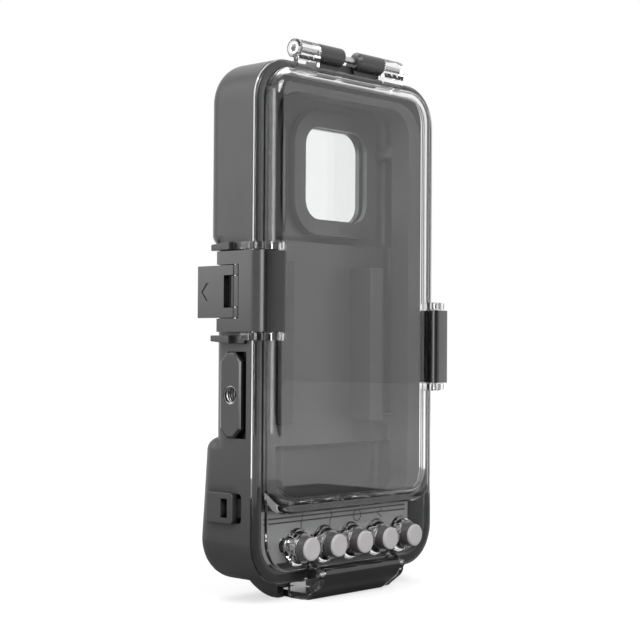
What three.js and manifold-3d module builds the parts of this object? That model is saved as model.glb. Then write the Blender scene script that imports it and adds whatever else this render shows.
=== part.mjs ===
// Underwater camera housing: a dark tray-shaped back shell and a clear hinged front cover,
// held shut by three snap latches, with five push buttons on a deck below the window.
// Millimetres, +Z up, -Y to the front. The parting plane of shell and cover is Y = 0.
import * as THREE from 'three';
import { mergeVertices } from 'three/addons/utils/BufferGeometryUtils.js';
import Module from 'manifold-3d';

const wasm = await Module();
wasm.setup();

// Outline of shell and cover, seen from the front
const halfWidth = 53.2;
const bottomZ = 7.8;
const topZ = 208;
const cornerRadius = 16.5;

// Clearances and overruns
const partingGap = 0.3;
const seatGap = 0.3;
const runningGap = 0.1;
const cutOverrun = 1;
const jointDepth = 0.8;

// Back shell
const sideWall = 5.2;
const backWall = 2.8;
const waistDepth = 22.4;
const upperStepOut = 3.7;
const lowerStepOut = 8.4;
const upperHeight = 72.3;
const lowerSectionZ = 63.5;
const lowerTaperZ = 24.3;
const lowerTaperShare = 0.1;
const sectionCorner = 5;
const rearEdgeRadius = 8;
const innerEdgeRadius = 3;
const innerCornerLeast = 1;
const dividerZ = 35.5;
const dividerThickness = 2;
const dividerNotch = 6;

// Main seal and its groove in the shell's front face
const sealGrooveWidth = 2.4;
const sealGrooveDepth = 1.8;
const sealGrooveInset = 1.3;
const sealSideGap = 0.15;
const sealStandOut = 0.1;

// Clear front cover
const flangeThickness = 1.8;
const flangeEdge = 1.4;
const flangeLedge = 5.6;
const windowFrontY = 7.2;
const shoulderRun = 5.4;
const windowWall = 2;
const windowBaseZ = 30.1;
const windowTopLedge = 2.4;
const windowCorner = 13;
const deckFrontY = 3.2;
const deckEdgeRun = 1.2;
const deckBottomLedge = 4.6;

// Hinge along the top edge
const hingeRise = 5.5;
const knuckleRadius = 3.75;
const hingePinRadius = 1.25;
const clearKnuckleEnd = 31.6;
const knuckleJointX = 19.5;
const middleGap = 4;
const knuckleChamfer = 1.2;
const knuckleSideGap = 0.2;
const hingeLugDepth = 8;
const hingeWebThickness = 2.6;
const hingeWebDrop = 2.2;
const hingeHeadRadius = 2.5;
const hingeHeadLength = 1.6;
const hingeHeadSink = 0.3;
const hingeEndWall = 1;
const starDepth = 0.9;
const starRadius = 1.5;

// Latches: a clamp on the cover, and a lever in the clamp's cut-out
const latchOut = 3.9;
const clampLength = 30.4;
const clampThickness = 2.8;
const clampRearY = 14.8;
const clampFlatFrontY = -2.5;
const clampStepY = -6;
const clampStepIn = 0.8;
const clampFrontY = -9.2;
const clampFrontIn = 2.9;
const pivotInset = 6.7;
const pivotY = -8.6;
const barrelRadius = 2.2;
const clampPinRadius = 0.9;
const cutOutFrontY = 3;
const cutOutMargin = 5;
const leverPinY = 5.8;
const leverPinRadius = 0.7;
const leverPinSeat = 4.2;
const leverOverhang = 3.6;
const leverThickness = 2.4;
const leverRecess = 0.3;
const tongueRearY = 8.2;
const tongueLength = 11.7;
const slotRearY = 11.1;
const leverFrontChamfer = 0.5;
const leftClampZ = 103.5;
const rightClampZ = 83.5;
const ridgeFrontY = 8;
const ridgeRearY = 11.4;
const ridgeEndGap = 1.2;
const ridgeRise = 0.85;

// Ears on both sides of each side latch
const clearEarThickness = 2.9;
const clearEarRearY = 2.3;
const earNoseRadius = 2;
const earSideGap = 0.35;
const darkEarThickness = 3.1;
const darkEarTip = 2.1;
const darkEarRearY = 20;
const darkEarStepY = 8.3;
const darkEarStepOut = 1.4;
const lowerEarGap = 1.3;
const upperEarGap = 0.5;

// Bottom latch: as the side latches but longer, with ears that the housing stands on
const bottomClampLength = 44;
const bottomFrontIn = 8;
const bottomFrontY = -9.9;
const bottomUpperIn = 6;
const bottomUpperY = -8.7;
const bottomMiddleIn = 4.2;
const bottomMiddleY = -6.5;
const bottomLowerIn = 1.9;
const bottomLowerY = -3.4;
const bottomFlatFrontY = -1;
const bottomClearEarRearY = 7;
const bottomClearEarRise = 0.5;
const bottomClearEarChamfer = 1.4;
const bottomEarStepY = 10.9;
const bottomEarStepRise = 3.4;
const bottomEarFlatY = 14;
const bottomEarLowShare = 0.32;
const bottomEarLowZ = 0.8;
const bottomEarHighShare = 0.714;
const bottomEarHighZ = 3;
const bottomEarRearZ = 6.2;
const bottomEarRootZ = 11.5;
const bottomEarThickness = 3.6;

// Push buttons on the deck
const buttonCount = 5;
const buttonPitchShare = 0.3246;
const buttonZ = 21.5;
const bossBaseRadius = 7;
const bossRimRadius = 5.5;
const bossRimY = -7.2;
const barrelOuter = 4.6;
const barrelInner = 3.5;
const barrelGap = 0.25;
const barrelSkirtY = -5.2;
const barrelFrontY = -10.6;
const barrelRoof = 1.2;
const capRadius = 4.38;
const capThickness = 1;
const capEdge = 0.35;
const stemRadius = 1.3;
const stemGap = 0.2;
const stemEndY = 4;
const guideOuter = 3.4;
const guideInner = 2.5;
const guideRearY = 2.6;
const guideSeatY = -1.6;
const buttonSealRadius = 0.5;
const buttonSealY = 0.4;
const clipThickness = 0.6;
const clipRadius = 2.4;
const clipGap = 0.2;
const clipGrooveDepth = 0.3;
const springMeanRadius = 2.4;
const springWireRadius = 0.28;
const springTurns = 4;
const springEndGap = 0.12;
const buttonTravel = 1.8;

// Controls and batteries behind the deck
const switchGap = 0.2;
const switchHalf = 1.8;
const switchHeight = 1.2;
const boardThickness = 1.2;
const boardEndIn = 6;
const boardHalfHeight = 5.5;
const panelFrontY = 5;
const panelThickness = 1;
const panelHoleRadius = 3;
const panelSideGap = 4;
const panelBottomZ = 14.9;
const panelTopZ = 35.3;
const postHalf = 2.2;
const panelPostIn = 2.5;
const panelPostZ = 17.1;
const cellRadius = 5.25;
const cellRearRoom = 12.4;
const cellZ = 26.1;
const cellNubRadius = 1.9;
const cellNubLength = 0.8;
const trayFloor = 1.4;
const trayWall = 0.8;
const trayCorner = 3.5;
const trayEdge = 2.6;
const traySideGap = 0.4;
const contactThickness = 0.5;

// Camera bay and its cradle
const cradleSideGap = 1.6;
const cradleSideRim = 7.2;
const cradleFrontY = 0.8;
const cradleRearY = 10.4;
const cradleTopGap = 2.5;
const cradleRim = 3.4;
const cradleBottomRim = 2.4;
const cradleInnerCorner = 11;
const cradlePostDrop = 18.6;
const padHalf = 4;
const padPlaceShare = 0.69;
const padEndGap = 4.2;
const padFrontY = 7.5;

// Camera window in the back of the shell
const portSideMargin = 4.2;
const portTopMargin = 4.3;
const portHalf = 19;
const portCorner = 8;
const paneLedge = 3;
const paneThickness = 4;
const paneGap = 0.3;
const gasketThickness = 0.8;
const portLip = 1.6;
const portBossWall = 3.2;
const portRingWidth = 7;
const portRingThickness = 2.2;
const portRingEdge = 0.7;
const portScrewRadius = 1.5;
const portScrewHead = 0.6;

// Tripod socket on the left side
const tripodZ = 79.7;
const tripodY = 10;
const tripodHalfHeight = 16.4;
const tripodHalfDepth = 5.6;
const tripodCorner = 3.6;
const tripodPlateOut = 1.3;
const tripodHoleRadius = 4.2;
const insertRadius = 3.9;
const insertBore = 3.175;
const insertLength = 6.2;
const insertGap = 0.3;
const insertEndGap = 0.2;
const tripodBossRadius = 6.4;
const tripodBossEnd = 1.6;
const tripodRecessDepth = 2.2;
const tripodRecessWidth = 1.9;

// Lanyard bar on the left side
const lanyardZ = 37;
const lanyardHalfHeight = 5.8;
const lanyardFrontY = 7.5;
const lanyardRearY = 22.8;
const lanyardOut = 2;
const lanyardChamfer = 1.4;
const lanyardBarRearY = 10.3;
const lanyardSlotRearY = 13.8;
const lanyardSlotHalfHeight = 3.6;
const lanyardRecessFrontY = 4.7;
const lanyardRecessHalfHeight = 5.6;
const lanyardSink = 3;
const lanyardCorner = 1.5;
const lanyardPassageTop = 0.2;

// Facets of round shapes
const cornerSteps = 4;
const edgeSteps = 3;
const roundSteps = 16;
const smallRoundSteps = 12;
const springSteps = 8;
const springSides = 5;

// Materials
function plastic(color, roughness) {
  return new THREE.MeshStandardMaterial({ color, roughness, metalness: 0 });
}
const shellPlastic = plastic(0x3c3c3e, 0.55);
const latchPlastic = plastic(0x48484b, 0.5);
const clearPlastic = new THREE.MeshStandardMaterial({
  color: 0xdfe4e6, roughness: 0.05, metalness: 0, transparent: true, opacity: 0.35,
});
const capPlastic = plastic(0xb2aeb0, 0.5);
const barrelPlastic = plastic(0x505050, 0.5);
const panelPlastic = plastic(0x4a4a4c, 0.6);
const sealRubber = plastic(0x16161a, 0.8);
const padRubber = plastic(0x2a2a2c, 0.85);
const steel = new THREE.MeshStandardMaterial({ color: 0xb8b8b8, roughness: 0.3, metalness: 1 });
const brass = new THREE.MeshStandardMaterial({ color: 0xc9a24a, roughness: 0.35, metalness: 1 });
const glass = new THREE.MeshStandardMaterial({
  color: 0xd8e2e4, roughness: 0.03, metalness: 0, transparent: true, opacity: 0.3,
});
const boardGreen = plastic(0x1f4a30, 0.6);
const cellWrap = plastic(0x2f3a46, 0.45);

// Solids from three.js geometry
function toSolid(geometry) {
  const bare = geometry.clone();
  bare.deleteAttribute('normal');
  bare.deleteAttribute('uv');
  const joined = mergeVertices(bare);
  return new wasm.Manifold(new wasm.Mesh({
    numProp: 3,
    vertProperties: joined.attributes.position.array,
    triVerts: new Uint32Array(joined.index.array),
  }));
}

function toGeometry(solid) {
  const result = solid.getMesh();
  const geometry = new THREE.BufferGeometry();
  geometry.setAttribute('position', new THREE.BufferAttribute(result.vertProperties, 3));
  geometry.setIndex(new THREE.BufferAttribute(result.triVerts, 1));
  geometry.computeVertexNormals();
  return geometry;
}

function join(solids) {
  return solids.reduce((whole, piece) => whole.add(piece));
}

function cut(body, tools) {
  return tools.reduce((left, tool) => left.subtract(tool), body);
}

// An outline of [a, b] points, extruded between two planes of the third axis
function outlineShape(points) {
  return new THREE.Shape(points.map(([a, b]) => new THREE.Vector2(a, b)));
}

function extruded(points, length) {
  const settings = { depth: length, bevelEnabled: false, curveSegments: cornerSteps };
  return new THREE.ExtrudeGeometry(outlineShape(points), settings);
}

function alongX(points, from, to) {
  const basis = new THREE.Matrix4().makeBasis(
    new THREE.Vector3(0, 1, 0),
    new THREE.Vector3(0, 0, 1),
    new THREE.Vector3(1, 0, 0),
  );
  basis.setPosition(from, 0, 0);
  return toSolid(extruded(points, to - from).applyMatrix4(basis));
}

function alongY(points, from, to) {
  const basis = new THREE.Matrix4().makeBasis(
    new THREE.Vector3(1, 0, 0),
    new THREE.Vector3(0, 0, 1),
    new THREE.Vector3(0, -1, 0),
  );
  basis.setPosition(0, to, 0);
  return toSolid(extruded(points, to - from).applyMatrix4(basis));
}

function alongZ(points, from, to) {
  return toSolid(extruded(points, to - from).translate(0, 0, from));
}

function box(x, y, z) {
  const geometry = new THREE.BoxGeometry(x[1] - x[0], y[1] - y[0], z[1] - z[0]);
  return toSolid(geometry.translate((x[0] + x[1]) / 2, (y[0] + y[1]) / 2, (z[0] + z[1]) / 2));
}

function discPoints(centreA, centreB, radius, steps) {
  const points = [];
  for (let i = 0; i < steps; i += 1) {
    const angle = (2 * Math.PI * (i + 0.5)) / steps;
    points.push([centreA + radius * Math.cos(angle), centreB + radius * Math.sin(angle)]);
  }
  return points;
}

function arcPoints(centreA, centreB, radius, fromDegrees, toDegrees, steps) {
  const points = [];
  for (let i = 0; i <= steps; i += 1) {
    const angle = THREE.MathUtils.degToRad(fromDegrees + ((toDegrees - fromDegrees) * i) / steps);
    points.push([centreA + radius * Math.cos(angle), centreB + radius * Math.sin(angle)]);
  }
  return points;
}

// A rectangle with rounded corners; the low and high corners can have different radii
function roundedRectangle(centreA, half, lowB, highB, lowRadius, highRadius = lowRadius) {
  const left = centreA - half;
  const right = centreA + half;
  return [
    ...arcPoints(right - lowRadius, lowB + lowRadius, lowRadius, -90, 0, cornerSteps),
    ...arcPoints(right - highRadius, highB - highRadius, highRadius, 0, 90, cornerSteps),
    ...arcPoints(left + highRadius, highB - highRadius, highRadius, 90, 180, cornerSteps),
    ...arcPoints(left + lowRadius, lowB + lowRadius, lowRadius, 180, 270, cornerSteps),
  ];
}

// A solid through rings of as many points each, given front to back as { points, y }
function loft(rings) {
  const count = rings[0].points.length;
  const positions = [];
  rings.forEach(({ points, y }) => points.forEach(([x, z]) => positions.push(x, y, z)));
  const index = [];
  for (let ring = 0; ring < rings.length - 1; ring += 1) {
    for (let i = 0; i < count; i += 1) {
      const next = (i + 1) % count;
      const here = ring * count;
      const there = here + count;
      index.push(here + i, there + next, here + next);
      index.push(here + i, there + i, there + next);
    }
  }
  const last = (rings.length - 1) * count;
  for (let i = 1; i < count - 1; i += 1) {
    index.push(0, i, i + 1);
    index.push(last, last + i + 1, last + i);
  }
  const geometry = new THREE.BufferGeometry();
  geometry.setAttribute('position', new THREE.Float32BufferAttribute(positions, 3));
  geometry.setIndex(index);
  return toSolid(geometry);
}

// A block with a rounded outline whose edge is rounded off at one end, over run by rise
function roundedBlock({ centre = 0, half, low, high, lowRadius, highRadius = lowRadius, plainY, edgeY,
  run, rise = run }) {
  const ring = (inset, y) => ({
    points: roundedRectangle(
      centre,
      half - inset,
      low + inset,
      high - inset,
      Math.max(lowRadius - inset, innerCornerLeast),
      Math.max(highRadius - inset, innerCornerLeast),
    ),
    y,
  });
  const direction = Math.sign(edgeY - plainY);
  const rings = [ring(0, plainY)];
  for (let i = 0; i <= edgeSteps; i += 1) {
    const angle = (Math.PI / 2) * (i / edgeSteps);
    rings.push(ring(run * (1 - Math.cos(angle)), edgeY - direction * rise * (1 - Math.sin(angle))));
  }
  return loft(direction > 0 ? rings : rings.reverse());
}

function rodX(radius, from, to, y, z, steps = roundSteps) {
  return alongX(discPoints(y, z, radius, steps), from, to);
}

function rodY(radius, from, to, x, z, steps = roundSteps) {
  return alongY(discPoints(x, z, radius, steps), from, to);
}

function rodZ(radius, from, to, x, y, steps = roundSteps) {
  return alongZ(discPoints(x, y, radius, steps), from, to);
}

// A turned solid about a line along Y; the profile is a closed list of [radius, y] points
function turned(profile, x, z, steps = roundSteps) {
  const points = profile.map(([radius, y]) => new THREE.Vector2(radius, y));
  const geometry = new THREE.LatheGeometry([...points, points[0].clone()], steps);
  return toSolid(geometry.translate(x, 0, z));
}

function tube(outer, inner, from, to, x, z, steps = roundSteps) {
  const overrun = inner * 0.1;
  return rodY(outer, from, to, x, z, steps).subtract(
    rodY(inner, from - overrun, to + overrun, x, z, steps),
  );
}

const group = new THREE.Group();

function addNode(name, solid, material) {
  const mesh = new THREE.Mesh(toGeometry(solid), material);
  mesh.name = name;
  group.add(mesh);
}

// Places worked out from the sizes above
const upperDepth = waistDepth + upperStepOut;
const lowerDepth = waistDepth + lowerStepOut;
const upperSectionZ = topZ - upperHeight;
const hingeZ = topZ + hingeRise;
const coverRearY = -partingGap;
const flangeFrontY = coverRearY - flangeThickness;
const innerHalf = halfWidth - sideWall;
const innerBottomZ = bottomZ + sideWall;
const innerTopZ = topZ - sideWall;
const innerCorner = cornerRadius - sideWall;
const windowHalf = halfWidth - flangeLedge;
const windowTopZ = topZ - windowTopLedge;
const latchPlaneX = halfWidth + latchOut;
const latchInnerX = latchPlaneX - clampThickness;
const pivotX = halfWidth - pivotInset;
const buttonPitch = windowHalf * buttonPitchShare;
const buttonXs = Array.from({ length: buttonCount }, (_, i) => (i - (buttonCount - 1) / 2) * buttonPitch);
const switchTopY = stemEndY + buttonTravel + switchGap;
const boardFrontY = switchTopY + switchHeight;
const boardRearY = boardFrontY + boardThickness;
const panelHalfWidth = innerHalf - panelSideGap;
const panelPostX = panelHalfWidth - panelPostIn;
const boardHalfWidth = panelHalfWidth - boardEndIn;
const paneHalf = portHalf + paneLedge;
const portBossHalf = paneHalf + paneGap + portBossWall;
const portRingHalf = portHalf + portRingWidth;
const portX = halfWidth - rearEdgeRadius - portRingHalf - portSideMargin;
const portZ = topZ - rearEdgeRadius - portRingHalf - portTopMargin;
const paneRearY = upperDepth;
const paneFrontY = paneRearY - paneThickness;
const gasketFrontY = paneFrontY - gasketThickness;
const portBandMiddle = portCorner + (portRingHalf - portHalf) / 2;
const portScrewOffset = portHalf - portCorner + portBandMiddle * Math.SQRT1_2;
const portBossFrontY = gasketFrontY - portLip;
const insertOuterX = halfWidth + tripodPlateOut;
const insertInnerX = insertOuterX - insertLength;
const leverFrontY = cutOutFrontY + seatGap + runningGap;
const leverInnerX = latchInnerX + leverRecess;
const leverOuterX = leverInnerX + leverThickness;
const leverPinX = (latchInnerX + latchPlaneX) / 2;
const leverRearY = waistDepth + leverOverhang;
const leverRoom = clampLength - 2 * cutOutMargin;
const bottomEarRearY = lowerDepth - backWall;
const bottomEdgeX = latchPlaneX - bottomZ;
const cradleBackY = waistDepth - backWall;
const cradleHalfWidth = innerHalf - cradleSideGap;
const cradleInnerHalf = cradleHalfWidth - cradleSideRim;
const cradleBottomZ = dividerZ + seatGap;
const cradleTopZ = innerTopZ - cradleTopGap;
const cradlePostX = (cradleHalfWidth + cradleInnerHalf) / 2;
const cradlePostLowZ = lowerSectionZ + padEndGap;
const cradlePostHighZ = cradleTopZ - cradlePostDrop;
const padX = cradleInnerHalf * padPlaceShare;
const padLowZ = lowerSectionZ + padEndGap;
const padHighZ = upperSectionZ - padEndGap;
const dividerFrontY = panelFrontY + panelThickness + seatGap;
const trayInnerHalf = innerHalf - traySideGap - trayWall;
const cellLength = trayInnerHalf - contactThickness - 1.5 * cellNubLength - 2 * seatGap;
const cellCentreX = (cellLength + cellNubLength) / 2 + seatGap;
const cellY = lowerDepth - cellRearRoom;

// Latch pieces are made for the right side, outward being +X, and then put in place
function keptRight(solid) {
  return solid;
}

function mirroredX(solid) {
  return solid.mirror([1, 0, 0]);
}

function turnedDown(solid) {
  return solid.rotate([0, 90, 0]).translate([0, 0, latchPlaneX]);
}

// A latch's sweep is the outside of its front corner as [in from the latch plane, Y], front first
const sideLatch = {
  length: clampLength,
  edgeX: halfWidth,
  sweep: [[clampFrontIn, clampFrontY], [clampStepIn, clampStepY], [0, clampFlatFrontY]],
  earSweep: [[clampStepIn, clampStepY], [0, clampFlatFrontY], [0, clearEarRearY]],
  earRearY: clearEarRearY,
};
const bottomSweep = [
  [bottomFrontIn, bottomFrontY], [bottomUpperIn, bottomUpperY], [bottomMiddleIn, bottomMiddleY],
  [bottomLowerIn, bottomLowerY],
];
const bottomLatch = {
  length: bottomClampLength,
  edgeX: bottomEdgeX,
  sweep: [...bottomSweep, [0, bottomFlatFrontY]],
  earSweep: [
    ...bottomSweep, [bottomClearEarRise, bottomFlatFrontY],
    [bottomClearEarRise, bottomClearEarRearY - bottomClearEarChamfer],
    [bottomClearEarRise + bottomClearEarChamfer, bottomClearEarRearY],
  ],
  earRearY: bottomClearEarRearY,
};
const latches = [
  { side: 'left', low: leftClampZ, ...sideLatch, place: mirroredX },
  { side: 'right', low: rightClampZ, ...sideLatch, place: keptRight },
  { side: 'bottom', low: -bottomClampLength / 2, ...bottomLatch, place: turnedDown },
];

function sweptOutline(sweep) {
  return sweep.map(([inset, y]) => [latchPlaneX - inset, y]);
}

// Back shell
function taperedRear(solid) {
  return solid.warp((point) => {
    const share = (point[2] - lowerTaperZ) / (lowerSectionZ - lowerTaperZ);
    point[1] *= 1 - lowerTaperShare * THREE.MathUtils.clamp(share, 0, 1);
  });
}

function shellBody() {
  const base = { half: halfWidth, plainY: 0, run: rearEdgeRadius };
  const whole = roundedBlock({
    ...base, low: bottomZ, high: topZ, lowRadius: cornerRadius, edgeY: waistDepth,
  });
  const upper = roundedBlock({
    ...base, low: upperSectionZ, high: topZ, lowRadius: sectionCorner, highRadius: cornerRadius,
    edgeY: upperDepth,
  });
  const lower = roundedBlock({
    ...base, low: bottomZ, high: lowerSectionZ, lowRadius: cornerRadius, highRadius: sectionCorner,
    edgeY: lowerDepth,
  });
  return join([whole, upper, taperedRear(lower)]);
}

function shellHollow() {
  const base = { half: innerHalf, plainY: -cutOverrun, run: innerEdgeRadius };
  const whole = roundedBlock({
    ...base, low: innerBottomZ, high: innerTopZ, lowRadius: innerCorner, edgeY: waistDepth - backWall,
  });
  const upper = roundedBlock({
    ...base, low: upperSectionZ + sideWall, high: innerTopZ, lowRadius: innerCornerLeast,
    highRadius: innerCorner, edgeY: upperDepth - backWall,
  });
  const lower = roundedBlock({
    ...base, low: innerBottomZ, high: lowerSectionZ - sideWall, lowRadius: innerCorner,
    highRadius: innerCornerLeast, edgeY: lowerDepth - backWall,
  });
  return join([whole, upper, taperedRear(lower)]);
}

function sealRing(clearance, frontY, rearY) {
  const outerInset = sealGrooveInset + clearance;
  const innerInset = sealGrooveInset + sealGrooveWidth - clearance;
  const ring = (inset) => roundedRectangle(
    0, halfWidth - inset, bottomZ + inset, topZ - inset, cornerRadius - inset,
  );
  const inner = alongY(ring(innerInset), frontY - cutOverrun, rearY + cutOverrun);
  return alongY(ring(outerInset), frontY, rearY).subtract(inner);
}

function shellDivider() {
  const deep = lowerDepth - backWall + jointDepth;
  const plate = box(
    [-innerHalf - jointDepth, innerHalf + jointDepth],
    [dividerFrontY, deep],
    [dividerZ - dividerThickness, dividerZ],
  );
  const notch = box(
    [-dividerNotch, dividerNotch],
    [dividerFrontY - cutOverrun, dividerFrontY + dividerNotch],
    [dividerZ - dividerThickness - cutOverrun, dividerZ + cutOverrun],
  );
  return plate.subtract(notch);
}

function shellPosts() {
  const floor = lowerDepth - backWall + jointDepth;
  const posts = [];
  for (const side of [-1, 1]) {
    const x = side * panelPostX;
    posts.push(box([x - postHalf, x + postHalf], [panelFrontY + panelThickness, floor],
      [panelPostZ - postHalf, panelPostZ + postHalf]));
  }
  for (const side of [-1, 1]) {
    for (const z of [cradlePostLowZ, cradlePostHighZ]) {
      const x = side * cradlePostX;
      const rear = z > upperSectionZ ? upperDepth : waistDepth;
      posts.push(box([x - postHalf, x + postHalf], [cradleRearY, rear - backWall + jointDepth],
        [z - postHalf, z + postHalf]));
    }
  }
  return posts;
}

function portOutline(half) {
  const corner = portCorner + half - portHalf;
  return roundedRectangle(portX, half, portZ - half, portZ + half, corner);
}

function shellPort() {
  const boss = alongY(portOutline(portBossHalf), portBossFrontY, upperDepth - backWall + jointDepth);
  const seat = alongY(portOutline(paneHalf + paneGap), gasketFrontY, upperDepth + cutOverrun);
  const opening = alongY(portOutline(portHalf), portBossFrontY - cutOverrun, upperDepth);
  return { boss, cuts: [seat, opening] };
}

function tripodOutline() {
  const low = tripodZ - tripodHalfHeight;
  const high = tripodZ + tripodHalfHeight;
  const front = tripodY - tripodHalfDepth;
  const rear = tripodY + tripodHalfDepth;
  return [
    [front + tripodCorner, low], [rear - tripodCorner, low],
    [rear, low + tripodCorner], [rear, high - tripodCorner],
    [rear - tripodCorner, high], [front + tripodCorner, high],
    [front, high - tripodCorner], [front, low + tripodCorner],
  ];
}

function shellTripodBoss() {
  const innerEnd = insertInnerX - insertEndGap - tripodBossEnd;
  const boss = rodX(tripodBossRadius, -innerHalf - jointDepth, -innerEnd, tripodY, tripodZ);
  const bore = rodX(insertRadius + insertGap, -halfWidth - cutOverrun, -insertInnerX + insertEndGap,
    tripodY, tripodZ);
  const low = tripodZ - tripodHalfHeight;
  const high = tripodZ + tripodHalfHeight;
  const rearY = tripodY - tripodHalfDepth;
  const frontY = rearY - tripodRecessWidth;
  const recess = alongX([
    [frontY, low], [rearY + tripodCorner, low], [rearY, low + tripodCorner],
    [rearY, high - tripodCorner], [rearY + tripodCorner, high], [frontY, high],
  ], -halfWidth - cutOverrun, -halfWidth + tripodRecessDepth);
  return { boss, cuts: [bore, recess] };
}

function shellLanyardBar() {
  const out = halfWidth + lanyardOut;
  const sunk = -halfWidth + lanyardSink;
  const heights = (half) => [lanyardZ - half, lanyardZ + half];
  // An outline whose front corners are cut off, extruded along X
  const cornered = (front, rear, half, from, to) => {
    const [low, high] = heights(half);
    return alongX([
      [front + lanyardCorner, low], [rear, low], [rear, high], [front + lanyardCorner, high],
      [front, high - lanyardCorner], [front, low + lanyardCorner],
    ], from, to);
  };
  const plan = alongZ([
    [-halfWidth + jointDepth, lanyardFrontY], [-halfWidth + jointDepth, lanyardRearY],
    [-halfWidth, lanyardRearY], [-out, lanyardRearY - lanyardChamfer], [-out, lanyardFrontY],
  ], ...heights(lanyardHalfHeight));
  const pad = plan.intersect(cornered(lanyardFrontY, lanyardRearY, lanyardHalfHeight, -out,
    -halfWidth + jointDepth));
  const slot = box([-out - cutOverrun, sunk], [lanyardBarRearY, lanyardSlotRearY],
    heights(lanyardSlotHalfHeight));
  const recess = cornered(lanyardRecessFrontY, lanyardFrontY, lanyardRecessHalfHeight,
    -out - cutOverrun, sunk);
  const passage = box([-halfWidth + lanyardPassageTop, sunk],
    [lanyardFrontY - jointDepth, lanyardBarRearY + jointDepth], heights(lanyardSlotHalfHeight));
  return { pad, cuts: [slot, recess, passage] };
}

function hingeKnuckle(from, to, chamferFrom, chamferTo) {
  const ends = [[from, knuckleRadius - chamferFrom], [from + chamferFrom, knuckleRadius],
    [to - chamferTo, knuckleRadius], [to, knuckleRadius - chamferTo]];
  const profile = [[from, 0], ...ends, [to, 0]].map(([x, radius]) => new THREE.Vector2(radius, x));
  const geometry = new THREE.LatheGeometry(profile, roundSteps);
  geometry.rotateZ(-Math.PI / 2);
  return toSolid(geometry.translate(0, 0, hingeZ));
}

function shellHinge() {
  const lugOutline = [
    [0, topZ - jointDepth], [0, hingeZ], [knuckleRadius, hingeZ],
    [hingeLugDepth, topZ], [hingeLugDepth, topZ - jointDepth],
  ];
  const pieces = [];
  const inner = middleGap;
  const outer = knuckleJointX - knuckleSideGap;
  pieces.push(hingeKnuckle(-outer, -inner, 0, knuckleChamfer));
  pieces.push(hingeKnuckle(inner, outer, knuckleChamfer, 0));
  pieces.push(alongX(lugOutline, -outer, -inner));
  pieces.push(alongX(lugOutline, inner, outer));
  const webRearY = knuckleRadius;
  pieces.push(box([-inner - jointDepth, inner + jointDepth], [webRearY - hingeWebThickness, webRearY],
    [topZ - jointDepth, hingeZ - hingeWebDrop]));
  return pieces;
}

// The dark ears of a side latch
function darkEar(clampLow, above) {
  const rootX = halfWidth - jointDepth;
  const stepX = halfWidth + darkEarStepOut;
  const near = above ? clampLow + clampLength + upperEarGap : clampLow - lowerEarGap;
  const away = above ? 1 : -1;
  const frontY = clearEarRearY + seatGap;
  const side = [
    [frontY, near], [darkEarRearY, near], [darkEarRearY, near + away * darkEarTip],
    [darkEarStepY, near + away * darkEarThickness], [frontY, near + away * darkEarThickness],
  ];
  const plan = [
    [rootX, frontY], [stepX, frontY], [stepX, darkEarStepY], [latchPlaneX, darkEarStepY],
    [latchPlaneX, darkEarRearY - latchOut / 2], [latchPlaneX - latchOut / 2, darkEarRearY],
    [rootX, darkEarRearY - latchOut / 2],
  ];
  const low = Math.min(near, near + away * darkEarThickness);
  const fin = alongX(above ? side : side.slice().reverse(), rootX, latchPlaneX);
  return fin.intersect(alongZ(plan, low, low + darkEarThickness));
}

// The dark ears beside the bottom latch run back along the underside
function bottomDarkEars() {
  const stepZ = bottomZ - bottomEarStepRise;
  const frontY = bottomClearEarRearY + seatGap;
  const along = (share) => bottomEarFlatY + (bottomEarRearY - bottomEarFlatY) * share;
  const ear = [
    [frontY, bottomZ + jointDepth], [frontY, stepZ], [bottomEarStepY, stepZ], [bottomEarStepY, 0],
    [bottomEarFlatY, 0], [along(bottomEarLowShare), bottomEarLowZ],
    [along(bottomEarHighShare), bottomEarHighZ], [bottomEarRearY, bottomEarRearZ],
    [bottomEarRearY, bottomEarRootZ],
  ];
  const near = bottomClampLength / 2 + lowerEarGap;
  const far = near + bottomEarThickness;
  return [alongX(ear, near, far), alongX(ear, -far, -near)];
}

function latchMargin(latch) {
  return (latch.length - leverRoom) / 2;
}

function catchRidge(latch) {
  const margin = latchMargin(latch) + ridgeEndGap;
  const topX = leverInnerX - (latchInnerX - halfWidth - ridgeRise) - leverRecess;
  return latch.place(alongZ([
    [latch.edgeX - jointDepth, ridgeFrontY], [topX - ridgeRise, ridgeFrontY],
    [topX, ridgeFrontY + ridgeRise], [topX, ridgeRearY], [latch.edgeX - jointDepth, ridgeRearY],
  ], latch.low + margin, latch.low + latch.length - margin));
}

function shellLatchParts() {
  const left = [darkEar(leftClampZ, true), darkEar(leftClampZ, false)];
  const right = [darkEar(rightClampZ, true), darkEar(rightClampZ, false)];
  return [...left.map(mirroredX), ...right, ...bottomDarkEars(), ...latches.map(catchRidge)];
}

function backShell() {
  const port = shellPort();
  const tripod = shellTripodBoss();
  const lanyard = shellLanyardBar();
  const groove = sealRing(0, -cutOverrun, sealGrooveDepth);
  const body = shellBody().subtract(shellHollow());
  const additions = [
    shellDivider(), ...shellPosts(), port.boss, tripod.boss, lanyard.pad, ...shellHinge(),
    ...shellLatchParts(),
  ];
  const pinBore = rodX(hingePinRadius + runningGap, -knuckleJointX, knuckleJointX, 0, hingeZ,
    smallRoundSteps);
  const cuts = [groove, ...port.cuts, ...tripod.cuts, ...lanyard.cuts, pinBore];
  return cut(join([body, ...additions]), cuts);
}

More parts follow.
